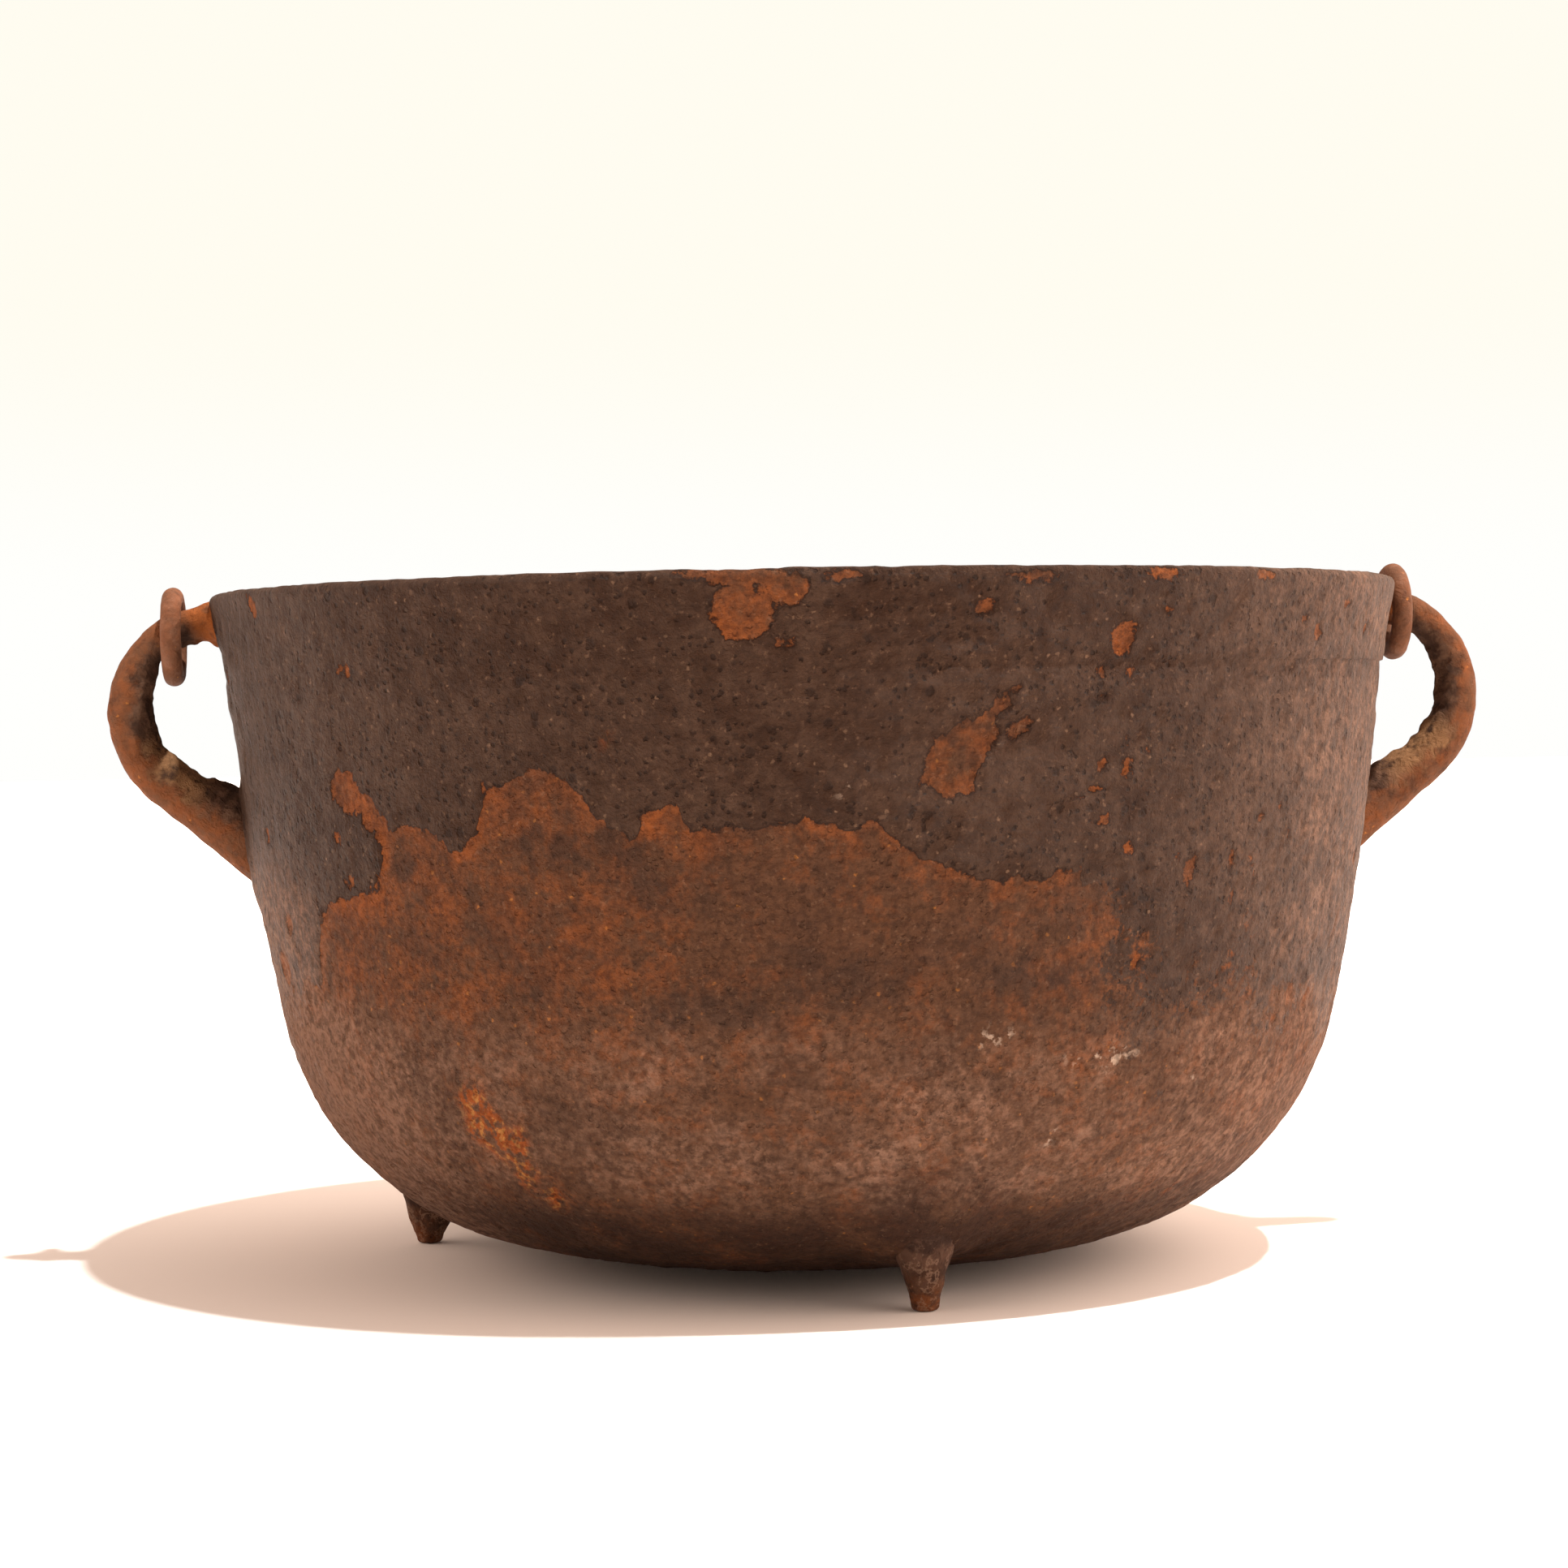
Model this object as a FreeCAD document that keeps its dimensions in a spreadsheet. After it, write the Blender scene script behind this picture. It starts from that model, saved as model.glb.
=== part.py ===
"""Three-legged cast-iron cauldron with two loop ears and an iron ring hung on each ear.

The frame is the pot's own: +Z up from the floor, origin on the floor under the middle of the bowl,
ears along +X and -X. Every length is in millimetres and every angle in degrees.
"""
import FreeCAD, Part
import math
import os

import Sketcher
from FreeCAD import Placement, Rotation, Vector

PARTS_FOLDER = "parts"
SAME_HEIGHT = 1e-6
SMALLEST_ROOT = 100.0
TRIM_TOLERANCE = 0.01
# Where the section solver starts: tilts from upright at the tops of the belly and the wall.
FIRST_BELLY_TILT, FIRST_WALL_TILT = 12.5, 5.0

# Driving dimensions: one cell and one alias each.
DIMENSIONS = {
    # bowl, outside
    "rim_height": 225.6,
    "rim_radius": 200.5,
    "band_depth": 28.0,
    "band_slope": 10.2,
    "band_step": 1.2,
    "wall_bow_radius": 890.0,
    "belly_radius": 97.2,
    "bottom_bend_radius": 176.0,
    "bottom_bend_out": 98.4,
    "bottom_flat_radius": 70.0,
    "bottom_clearance": 4.6,
    # bowl, inside
    "wall_thickness": 5.5,
    "lip_thickness": 7.4,
    "lip_round": 2.6,
    # gate scar under the bowl
    "gate_length": 74.0,
    "gate_width": 6.0,
    "gate_proud": 1.2,
    "gate_round": 0.6,
    "gate_turn": 24.0,
    # ears: the middle line, then the thickness along it
    "ear_tip_out": 228.2,
    "ear_tip_height": 188.6,
    "ear_upper_bend": 29.0,
    "ear_lower_bend": 33.0,
    "ear_upper_slope": 21.0,
    "ear_lower_slope": 31.0,
    "ear_upper_start": 193.0,
    "ear_lower_start": 182.0,
    "ear_neck_out": 200.5,
    "ear_lower_out": 208.5,
    "ear_flare_out": 194.5,
    "ear_tip_turn": 14.0,
    "ear_worn_turn": 46.0,
    "ear_flare_turn": 12.0,
    "ear_root_turn": 39.0,
    "ear_upper_root_radius": 7.4,
    "ear_upper_radius": 6.1,
    "ear_worn_radius": 5.7,
    "ear_tip_radius": 7.3,
    "ear_lower_radius": 8.3,
    "ear_flare_radius": 11.0,
    "ear_lower_root_radius": 17.5,
    "ear_round": 0.98,
    "ear_flare_width": 0.85,
    "ear_root_width": 0.52,
    # rings
    "ring_wire_radius": 3.6,
    "ring_radius": 13.2,
    "ring_axis_drop": 0.8,
    "ring_hang": 1.3,
    "left_ring_out": 212.8,
    "right_ring_out": 205.9,
    # legs
    "foot_radius": 4.4,
    "foot_round": 1.2,
    "leg_root_radius": 10.4,
    "leg_height": 46.0,
    "leg_out": 135.6,
    "front_leg_angle": -80.9,
    "left_leg_angle": 165.4,
    "rear_leg_angle": 42.3,
}

doc = FreeCAD.newDocument("footed_cauldron")
sheet = doc.addObject("Spreadsheet::Sheet", "dims")


def fill_sheet():
    """One row per driving dimension: its name, then its value under an alias."""
    for row, (alias, value) in enumerate(DIMENSIONS.items(), start=1):
        sheet.set(f"A{row}", alias)
        sheet.set(f"B{row}", str(value))
        sheet.setAlias(f"B{row}", alias)
    doc.recompute()


def cell(alias):
    """The value of a driving dimension."""
    return float(getattr(sheet, alias))


def bind(thing, **expressions):
    """Binds properties of a document object to expressions on the sheet."""
    for prop, expression in expressions.items():
        thing.setExpression(prop.replace("__", "."), expression)


def sketch_on(body, name, plane="XZ_Plane"):
    """A sketch on one of a body's own origin planes."""
    sketch = body.newObject("Sketcher::SketchObject", name)
    origin_plane = next(o for o in body.Origin.OriginFeatures if o.Role == plane)
    sketch.AttachmentSupport = [(origin_plane, "")]
    sketch.MapMode = "FlatFace"
    return sketch


def dimension(sketch, name, expression, kind, *where):
    """A named dimensional constraint whose value follows the sheet."""
    index = sketch.addConstraint(Sketcher.Constraint(kind, *where))
    sketch.renameConstraint(index, name)
    sketch.setExpression(f"Constraints.{name}", expression)


# ---------------------------------------------------------------- bowl

START, END, CENTRE = 1, 2, 3
AXIS_ORIGIN = (-1, 1)
V_AXIS = -2


def bow(centre, radius, low_tilt, high_tilt):
    """An arc outside and below its centre, between two tilts of its tangent from the vertical."""
    circle = Part.Circle(Vector(*centre, 0), Vector(0, 0, 1), radius)
    return Part.ArcOfCircle(circle, math.radians(-low_tilt), math.radians(-high_tilt))


def line(a, b):
    """A straight sketch line between two (x, y) points."""
    return Part.LineSegment(Vector(*a, 0), Vector(*b, 0))


def half_section(sketch, inset, top_out, top_reach):
    """Draws a half section: flat bottom, bend, belly, wall, and a closed top made of corners.

    inset is how far it lies inside the bowl's outer face. top_out is where the wall ends, as a
    number, and top_reach the same as an expression. Geometry 0 to 3 are the flat, the bend, the
    belly and the wall.
    """
    less = f" - {inset}" if inset else ""
    depth = cell("wall_thickness") if inset else 0.0
    bend_radius = cell("bottom_bend_radius") - depth
    belly_radius = cell("belly_radius") - depth
    wall_radius = cell("wall_bow_radius") - depth
    flat, low = cell("bottom_flat_radius"), cell("bottom_clearance") + depth
    top_height = cell("rim_height") - cell("band_depth")
    bend_share = (cell("bottom_bend_out") - flat) / cell("bottom_bend_radius")
    bend_tilt = math.degrees(math.acos(bend_share))
    belly_tilt, wall_tilt = FIRST_BELLY_TILT, FIRST_WALL_TILT
    bend_centre = (flat, low + bend_radius)
    reach = bend_radius - belly_radius
    belly_centre = (
        flat + reach * math.cos(math.radians(bend_tilt)),
        bend_centre[1] - reach * math.sin(math.radians(bend_tilt)),
    )
    wall_centre = (
        top_out - wall_radius * math.cos(math.radians(wall_tilt)),
        top_height + wall_radius * math.sin(math.radians(wall_tilt)),
    )
    sketch.addGeometry(line((0.0, low), (flat, low)), False)
    sketch.addGeometry(bow(bend_centre, bend_radius, 90.0, bend_tilt), False)
    sketch.addGeometry(bow(belly_centre, belly_radius, bend_tilt, belly_tilt), False)
    sketch.addGeometry(bow(wall_centre, wall_radius, belly_tilt, wall_tilt), False)
    join = Sketcher.Constraint
    sketch.addConstraint(join("Horizontal", 0))
    sketch.addConstraint(join("PointOnObject", 0, START, V_AXIS))
    for lower, upper in ((0, 1), (1, 2), (2, 3)):
        sketch.addConstraint(join("Tangent", lower, END, upper, START))
    dimension(sketch, "bend_radius", f"dims.bottom_bend_radius{less}", "Radius", 1, bend_radius)
    dimension(sketch, "belly_radius", f"dims.belly_radius{less}", "Radius", 2, belly_radius)
    dimension(sketch, "wall_radius", f"dims.wall_bow_radius{less}", "Radius", 3, wall_radius)
    rise = f" + {inset}" if inset else ""
    dimension(sketch, "low", f"dims.bottom_clearance{rise}",
              "DistanceY", *AXIS_ORIGIN, 0, START, low)
    dimension(sketch, "flat", "dims.bottom_flat_radius", "DistanceX", *AXIS_ORIGIN, 0, END, flat)
    bend_reach = (f"dims.bottom_flat_radius + (dims.bottom_bend_out - dims.bottom_flat_radius)"
                  f" * (dims.bottom_bend_radius{less}) / dims.bottom_bend_radius")
    dimension(sketch, "bend_out", bend_reach,
              "DistanceX", *AXIS_ORIGIN, 1, END, flat + bend_share * bend_radius)
    dimension(sketch, "wall_out", top_reach, "DistanceX", *AXIS_ORIGIN, 3, END, top_out)
    dimension(sketch, "wall_top", "dims.rim_height - dims.band_depth",
              "DistanceY", *AXIS_ORIGIN, 3, END, top_height)


def close_section(sketch, corners):
    """Closes a half section from the end of its wall through corners to the start of its flat."""
    join = Sketcher.Constraint
    first = sketch.GeometryCount
    for a, b in zip(corners, corners[1:]):
        sketch.addGeometry(line(a, b), False)
    last = sketch.GeometryCount - 1
    chain = [3, *range(first, last + 1)]
    for a, b in zip(chain, chain[1:]):
        sketch.addConstraint(join("Coincident", a, END, b, START))
    sketch.addConstraint(join("Coincident", last, END, 0, START))
    sketch.addConstraint(join("Horizontal", last - 1))
    sketch.addConstraint(join("PointOnObject", last - 1, END, V_AXIS))
    return first


BAND_REACH = "dims.rim_radius - dims.band_depth * tan(dims.band_slope * 1deg)"


def band_reach():
    """How far out the lower edge of the rim band lies."""
    return cell("rim_radius") - cell("band_depth") * math.tan(math.radians(cell("band_slope")))


def outer_section(body):
    """Half section of the outside, with the sloping rim band and the small step under it."""
    sketch = sketch_on(body, "outside_section")
    rim, height = cell("rim_radius"), cell("rim_height")
    under_band, band_out = height - cell("band_depth"), band_reach()
    wall_out = band_out - cell("band_step")
    half_section(sketch, "", wall_out, f"{BAND_REACH} - dims.band_step")
    step = close_section(sketch, [
        (wall_out, under_band),
        (band_out, under_band),
        (rim, height),
        (0.0, height),
        (0.0, cell("bottom_clearance")),
    ])
    band = step + 1
    sketch.addConstraint(Sketcher.Constraint("Horizontal", step))
    dimension(sketch, "band_out", BAND_REACH, "DistanceX", *AXIS_ORIGIN, band, START, band_out)
    dimension(sketch, "rim_out", "dims.rim_radius", "DistanceX", *AXIS_ORIGIN, band, END, rim)
    dimension(sketch, "rim_top", "dims.rim_height", "DistanceY", *AXIS_ORIGIN, band, END, height)
    return sketch


def hollow_section(body):
    """Half section of the hollow: the outer section set in by the wall, then the lip's inside."""
    sketch = sketch_on(body, "hollow_section")
    height, inset = cell("rim_height"), "dims.wall_thickness"
    mouth = cell("rim_radius") - cell("lip_thickness")
    wall_out = band_reach() - cell("band_step") - cell("wall_thickness")
    half_section(sketch, inset, wall_out, f"{BAND_REACH} - dims.band_step - {inset}")
    lip = close_section(sketch, [
        (wall_out, height - cell("band_depth")),
        (mouth, height),
        (0.0, height),
        (0.0, cell("bottom_clearance") + cell("wall_thickness")),
    ])
    dimension(sketch, "mouth_out", "dims.rim_radius - dims.lip_thickness",
              "DistanceX", *AXIS_ORIGIN, lip, END, mouth)
    dimension(sketch, "mouth_top", "dims.rim_height", "DistanceY", *AXIS_ORIGIN, lip, END, height)
    return sketch


def gate_sketch(body):
    """A long slot outline, level with the proud face of the gate scar."""
    sketch = sketch_on(body, "gate_outline", "XY_Plane")
    half_run = (cell("gate_length") - cell("gate_width")) / 2
    half = cell("gate_width") / 2
    quarter = math.pi / 2
    ends = [
        Part.ArcOfCircle(Part.Circle(Vector(half_run, 0, 0), Vector(0, 0, 1), half), -quarter, quarter),
        Part.ArcOfCircle(Part.Circle(Vector(-half_run, 0, 0), Vector(0, 0, 1), half), quarter, 3 * quarter),
    ]
    sides = [
        Part.LineSegment(Vector(half_run, half, 0), Vector(-half_run, half, 0)),
        Part.LineSegment(Vector(-half_run, -half, 0), Vector(half_run, -half, 0)),
    ]
    for geometry in (ends[0], sides[0], ends[1], sides[1]):
        sketch.addGeometry(geometry, False)
    join = Sketcher.Constraint
    for a, b in ((0, 1), (1, 2), (2, 3), (3, 0)):
        sketch.addConstraint(join("Tangent", a, END, b, START))
    sketch.addConstraint(join("Symmetric", 0, CENTRE, 2, CENTRE, *AXIS_ORIGIN))
    sketch.addConstraint(join("Horizontal", 1))
    dimension(sketch, "half_width", "dims.gate_width / 2", "Radius", 0, half)
    dimension(sketch, "run", "dims.gate_length - dims.gate_width",
              "DistanceX", 2, CENTRE, 0, CENTRE, 2 * half_run)
    bind(sketch, AttachmentOffset__Base__z="dims.bottom_clearance - dims.gate_proud",
         AttachmentOffset__Rotation__Angle="dims.gate_turn")
    return sketch


def rim_edges(shape):
    """Names of the two circular edges at the top of the rim."""
    top = cell("rim_height")
    return [
        f"Edge{i}" for i, edge in enumerate(shape.Edges, start=1)
        if all(abs(v.Point.z - top) < SAME_HEIGHT for v in edge.Vertexes)
    ]


def gate_edges(shape):
    """Names of the edges round the proud face of the gate scar."""
    low = cell("bottom_clearance") - cell("gate_proud")
    return [
        f"Edge{i}" for i, edge in enumerate(shape.Edges, start=1)
        if all(abs(v.Point.z - low) < SAME_HEIGHT for v in edge.Vertexes)
    ]


def make_bowl():
    """The bowl: a turned outside, a turned hollow, a rounded lip and the gate scar below.

    It returns the bowl and its filled outside as spline surfaces, against which every ear and leg
    is trimmed. Against the plain turned surfaces some of those cuts remove nothing.
    """
    body = doc.addObject("PartDesign::Body", "bowl")
    body.Label = "bowl"
    doc.recompute()
    outside = outer_section(body)
    doc.recompute()
    form = body.newObject("PartDesign::Revolution", "bowl_form")
    form.Profile = outside
    form.ReferenceAxis = (outside, ["V_Axis"])
    form.Angle = 360.0
    doc.recompute()
    full = form.Shape.Volume
    hollow_outline = hollow_section(body)
    doc.recompute()
    hollow = body.newObject("PartDesign::Groove", "hollow")
    hollow.Profile = hollow_outline
    hollow.ReferenceAxis = (hollow_outline, ["V_Axis"])
    hollow.Angle = 360.0
    doc.recompute()
    assert hollow.Shape.Volume < 0.3 * full, "the hollow cut nothing"
    gate = body.newObject("PartDesign::Pad", "gate_scar")
    gate.Profile = gate_sketch(body)
    gate.Length = 3.0
    bind(gate, Length="dims.gate_proud + dims.wall_thickness / 2")
    doc.recompute()
    gate_round = body.newObject("PartDesign::Fillet", "gate_round")
    gate_round.Base = (gate, gate_edges(gate.Shape))
    bind(gate_round, Radius="dims.gate_round")
    doc.recompute()
    lip = body.newObject("PartDesign::Fillet", "lip_round")
    lip.Base = (gate_round, rim_edges(gate_round.Shape))
    bind(lip, Radius="dims.lip_round")
    doc.recompute()
    for sketch in (outside, hollow_outline):
        sketch.Visibility = False
    trimmer = doc.addObject("Part::Feature", "pot_outside")
    trimmer.Shape = form.Shape.toNurbs()
    return body, trimmer


def trim(label, form, pot_outside):
    """Cuts away what a cast-on piece has inside the bowl's outside, and proves that it did."""
    piece = doc.addObject("Part::Cut", label)
    piece.Base = form
    piece.Tool = pot_outside
    piece.Label = label
    doc.recompute()
    buried = form.Shape.common(pot_outside.Shape).Volume
    lost = form.Shape.Volume - piece.Shape.Volume
    if buried < SMALLEST_ROOT or abs(lost - buried) > TRIM_TOLERANCE * buried:
        raise RuntimeError(f"{label} wasn't trimmed to the bowl")
    return piece


# ---------------------------------------------------------------- ears
#
# An ear's middle line lies in the pot's XZ plane: a straight upper arm, an upper bend and a lower
# bend that meet at the tip, where the line is upright, and a straight lower arm. A section's turn
# is the angle of its height axis above +X, and the height axis always points out of the loop.

UPPER_TURN = "(90 - dims.ear_upper_slope)"
LOWER_TURN = "(dims.ear_lower_slope - 90)"


def on_bend(bend, turn):
    """Reach and height of the middle line on one of the bends, as expressions."""
    reach = f"dims.ear_tip_out - dims.{bend} * (1 - cos({turn} * 1deg))"
    height = f"dims.ear_tip_height + dims.{bend} * sin({turn} * 1deg)"
    return reach, height


def on_upper_arm(reach):
    """The middle line's height on the straight upper arm at a reach, as an expression."""
    end_out, end_height = on_bend("ear_upper_bend", UPPER_TURN)
    return f"{end_height} + ({end_out} - ({reach})) * tan(dims.ear_upper_slope * 1deg)"


def on_lower_arm(reach):
    """The middle line's height on the straight lower arm at a reach, as an expression."""
    end_out, end_height = on_bend("ear_lower_bend", LOWER_TURN)
    return f"{end_height} - ({end_out} - ({reach})) * tan(dims.ear_lower_slope * 1deg)"


def ear_sections():
    """Each section from the upper root round to the lower one, as (reach, height, turn, half
    height, width share), all but the last two as expressions and those as aliases.
    """
    sections = []
    for reach, radius in (("ear_upper_start", "ear_upper_root_radius"),
                          ("ear_neck_out", "ear_upper_radius"),
                          ("right_ring_out", "ear_worn_radius")):
        out = f"dims.{reach}"
        sections.append((out, on_upper_arm(out), UPPER_TURN, radius, "ear_round"))
    for bend, turn, radius in (("ear_upper_bend", "dims.ear_worn_turn", "ear_worn_radius"),
                               ("ear_upper_bend", "dims.ear_tip_turn", "ear_tip_radius"),
                               ("ear_lower_bend", "-dims.ear_tip_turn", "ear_tip_radius"),
                               ("ear_lower_bend", "-dims.ear_worn_turn", "ear_lower_radius")):
        sections.append((*on_bend(bend, turn), turn, radius, "ear_round"))
    for reach, turn, radius, width in (
            ("ear_lower_out", LOWER_TURN, "ear_lower_radius", "ear_round"),
            ("ear_flare_out", f"({LOWER_TURN} - dims.ear_flare_turn)", "ear_flare_radius",
             "ear_flare_width"),
            ("ear_lower_start", f"({LOWER_TURN} - dims.ear_root_turn)", "ear_lower_root_radius",
             "ear_root_width")):
        out = f"dims.{reach}"
        sections.append((out, on_lower_arm(out), turn, radius, width))
    return sections


def make_right_ear(pot_outside):
    """The right ear: oval sections lofted along its middle line, trimmed to the bowl's outside."""
    ovals = []
    for number, (reach, height, turn, radius, width) in enumerate(ear_sections(), start=1):
        oval = doc.addObject("Part::Ellipse", f"ear_section_{number}")
        oval.Placement = Placement(Vector(), Rotation(Vector(0, -1, 0), 1))
        bind(oval, MajorRadius=f"dims.{radius}", MinorRadius=f"dims.{radius} * dims.{width}",
             Placement__Base__x=reach, Placement__Base__z=height,
             Placement__Rotation__Angle=turn)
        ovals.append(oval)
    doc.recompute()
    form = doc.addObject("Part::Loft", "ear_form")
    form.Sections = ovals
    form.Solid = True
    return trim("right_ear", form, pot_outside)


def make_left_ear(right_ear):
    """The left ear, the right one's mirror image."""
    ear = doc.addObject("Part::Mirroring", "left_ear")
    ear.Source = right_ear
    ear.Base = Vector()
    ear.Normal = Vector(1, 0, 0)
    ear.Label = "left_ear"
    doc.recompute()
    return ear


# ---------------------------------------------------------------- legs


def leg_section(body):
    """Half section of a leg: a straight taper from the foot to well inside the bowl's belly."""
    sketch = sketch_on(body, f"{body.Name}_section")
    foot, root, height = cell("foot_radius"), cell("leg_root_radius"), cell("leg_height")
    corners = [(0.0, 0.0), (foot, 0.0), (root, height), (0.0, height)]
    for a, b in zip(corners, corners[1:] + corners[:1]):
        sketch.addGeometry(line(a, b), False)
    join = Sketcher.Constraint
    for a, b in ((0, 1), (1, 2), (2, 3), (3, 0)):
        sketch.addConstraint(join("Coincident", a, END, b, START))
    sketch.addConstraint(join("Coincident", 0, START, *AXIS_ORIGIN))
    sketch.addConstraint(join("Horizontal", 0))
    sketch.addConstraint(join("Horizontal", 2))
    sketch.addConstraint(join("Vertical", 3))
    dimension(sketch, "foot", "dims.foot_radius", "DistanceX", *AXIS_ORIGIN, 0, END, foot)
    dimension(sketch, "root", "dims.leg_root_radius", "DistanceX", *AXIS_ORIGIN, 1, END, root)
    dimension(sketch, "height", "dims.leg_height", "DistanceY", *AXIS_ORIGIN, 1, END, height)
    return sketch


def make_leg(word, pot_outside):
    """One tapered leg standing on the floor, trimmed to the bowl's outside."""
    body = doc.addObject("PartDesign::Body", f"{word}_leg_form")
    doc.recompute()
    section = leg_section(body)
    peg = body.newObject("PartDesign::Revolution", f"{word}_peg")
    peg.Profile = section
    peg.ReferenceAxis = (section, ["V_Axis"])
    peg.Angle = 360.0
    doc.recompute()
    sole = [
        f"Edge{i}" for i, edge in enumerate(peg.Shape.Edges, start=1)
        if all(abs(v.Point.z) < SAME_HEIGHT for v in edge.Vertexes)
    ]
    rounding = body.newObject("PartDesign::Fillet", f"{word}_foot_round")
    rounding.Base = (peg, sole)
    bind(rounding, Radius="dims.foot_round")
    out = f"dims.leg_out * {{}}(dims.{word}_leg_angle * 1deg)"
    bind(body, Placement__Base__x=out.format("cos"), Placement__Base__y=out.format("sin"))
    return trim(f"{word}_leg", body, pot_outside)


# ---------------------------------------------------------------- rings


def bar_height(reach):
    """The middle line's height at a reach, on the upper arm or on the upper bend past its end."""
    end_out = on_bend("ear_upper_bend", UPPER_TURN)[0]
    from_centre = f"({reach} - dims.ear_tip_out + dims.ear_upper_bend)"
    on_bend_height = f"dims.ear_tip_height + sqrt(dims.ear_upper_bend ^ 2 - {from_centre} ^ 2)"
    return f"{reach} > {end_out} ? {on_bend_height} : {on_upper_arm(reach)}"


def make_ring(word, side):
    """A closed ring hung round an ear's upper arm, its plane upright and across the arm.

    It turns about an axis along X that lies ring_axis_drop below the arm's middle line, and its
    middle hangs ring_hang below that axis.
    """
    ring = doc.addObject("Part::Torus", f"{word}_ring")
    ring.Label = f"{word}_ring"
    ring.Placement = Placement(Vector(), Rotation(Vector(0, 1, 0), 90))
    bind(ring, Radius1="dims.ring_radius", Radius2="dims.ring_wire_radius")
    out = f"dims.{word}_ring_out"
    bind(ring, Placement__Base__x=f"{side} * {out}",
         Placement__Base__z=f"({bar_height(out)}) - dims.ring_axis_drop - dims.ring_hang")
    doc.recompute()
    return ring


# ---------------------------------------------------------------- the whole


def check(objects, nodes):
    """Stops with a message if any object failed or any sub-part has no valid solid."""
    failed = [o.Name for o in objects if {"Invalid", "Error"} & set(o.State)]
    if failed:
        raise RuntimeError(f"failed objects: {failed}")
    for node in nodes:
        if node.Shape.isNull() or not node.Shape.isValid() or not node.Shape.Solids:
            raise RuntimeError(f"{node.Label} has no valid solid")


def export(nodes):
    """Writes one STEP file per sub-part, named by its label."""
    os.makedirs(PARTS_FOLDER, exist_ok=True)
    for node in nodes:
        node.Shape.exportStep(f"{PARTS_FOLDER}/{node.Label}.step")


fill_sheet()
bowl, pot_outside = make_bowl()
right_ear = make_right_ear(pot_outside)
nodes = [
    bowl,
    right_ear,
    make_left_ear(right_ear),
    make_leg("front", pot_outside),
    make_leg("left", pot_outside),
    make_leg("rear", pot_outside),
    make_ring("left", -1),
    make_ring("right", 1),
]
doc.recompute()
check(doc.Objects, nodes)
export(nodes)
for node in nodes:
    box = node.Shape.optimalBoundingBox()
    print(f"{node.Label}: {len(node.Shape.Solids)} solid, {node.Shape.Volume:.0f} mm3,"
          f" x {box.XMin:.1f} to {box.XMax:.1f}, y {box.YMin:.1f} to {box.YMax:.1f},"
          f" z {box.ZMin:.2f} to {box.ZMax:.2f}")
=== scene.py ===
"""A footed cast-iron cauldron with a worn, rusty skin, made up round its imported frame."""

import math

import bmesh
import bpy
from mathutils import Matrix, Vector, noise


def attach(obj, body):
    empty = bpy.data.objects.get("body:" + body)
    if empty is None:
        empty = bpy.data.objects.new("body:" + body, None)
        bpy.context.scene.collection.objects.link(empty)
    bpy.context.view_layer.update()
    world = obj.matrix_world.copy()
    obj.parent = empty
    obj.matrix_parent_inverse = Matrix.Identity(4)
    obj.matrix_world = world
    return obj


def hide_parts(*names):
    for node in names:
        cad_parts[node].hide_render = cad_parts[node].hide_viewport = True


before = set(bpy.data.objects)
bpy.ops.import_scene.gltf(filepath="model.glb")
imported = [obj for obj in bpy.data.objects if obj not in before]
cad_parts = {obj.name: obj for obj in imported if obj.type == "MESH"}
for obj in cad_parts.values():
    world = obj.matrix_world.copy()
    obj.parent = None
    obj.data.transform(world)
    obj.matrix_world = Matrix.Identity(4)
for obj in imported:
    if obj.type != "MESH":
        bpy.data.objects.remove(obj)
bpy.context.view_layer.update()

MM = 0.001
SHAPES_SEED = 7

# Lengths are in millimetres and angles in degrees, out from the bowl's axis and up from the floor.
FACES_ROUND_BOWL = 576
DEGREE_OF_WALL = 3.35      # round the wall for each degree

# The bowl's half section: a flat, then arcs as (out, up) centres with the angle each one turns.
BOTTOM, FLAT_RADIUS = 4.6, 70.0
BEND_CENTRE, BEND_ANGLE = (70.0, 180.6), 9.29
BELLY_CENTRE, BELLY_ANGLE = (82.7, 102.8), 68.81
WALL_CENTRE, WALL_ANGLE = (-693.1, 266.0), 7.47
BAND_FOOT, RIM_HEIGHT = 197.9, 225.6
LIP_OUTER, LIP_INNER, LIP_LEVEL = 197.39, 195.27, 223.0
INSIDE_BOTTOM = 10.1

# The ears' middle line: two straight arms joined by two arcs that meet at the tip's height.
EAR_TIP_HEIGHT, EAR_REACH = 188.6, 235.6
UPPER_BEND, UPPER_BEND_OUT, UPPER_BEND_ANGLE = 29.0, 199.2, 69.0
LOWER_BEND, LOWER_BEND_OUT, LOWER_BEND_ANGLE = 33.0, 195.2, 59.0
UPPER_ARM_ROOT, UPPER_ARM_END = (196.6, 217.2), (209.6, 215.7)
LOWER_ARM_START, LOWER_ARM_ROOT = (212.2, 160.3), (187.0, 142.6)
EAR_STEPS, EAR_SIDES = 112, 60

LEG_TURNS = {"front_leg": -80.9, "left_leg": 165.4, "rear_leg": 42.3}
LEG_OUT, LEG_STEPS, LEG_SIDES = 135.6, 56, 48
RINGS = {"left_ring": (-212.8, 212.11), "right_ring": (205.9, 214.99)}
RING_RADIUS, RING_WIRE, RING_STEPS, WIRE_SIDES = 13.2, 3.6, 110, 36
GATE_TURN, GATE_LENGTH, GATE_WIDTH, GATE_BOTTOM = 24.0, 74.0, 6.0, 3.4

# How far from a leg's middle line the belly is swollen and darkened.
LEG_MOUND, LEG_DARKENED = 27.0, 36.0


# ---------------------------------------------------------------- meshes


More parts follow.
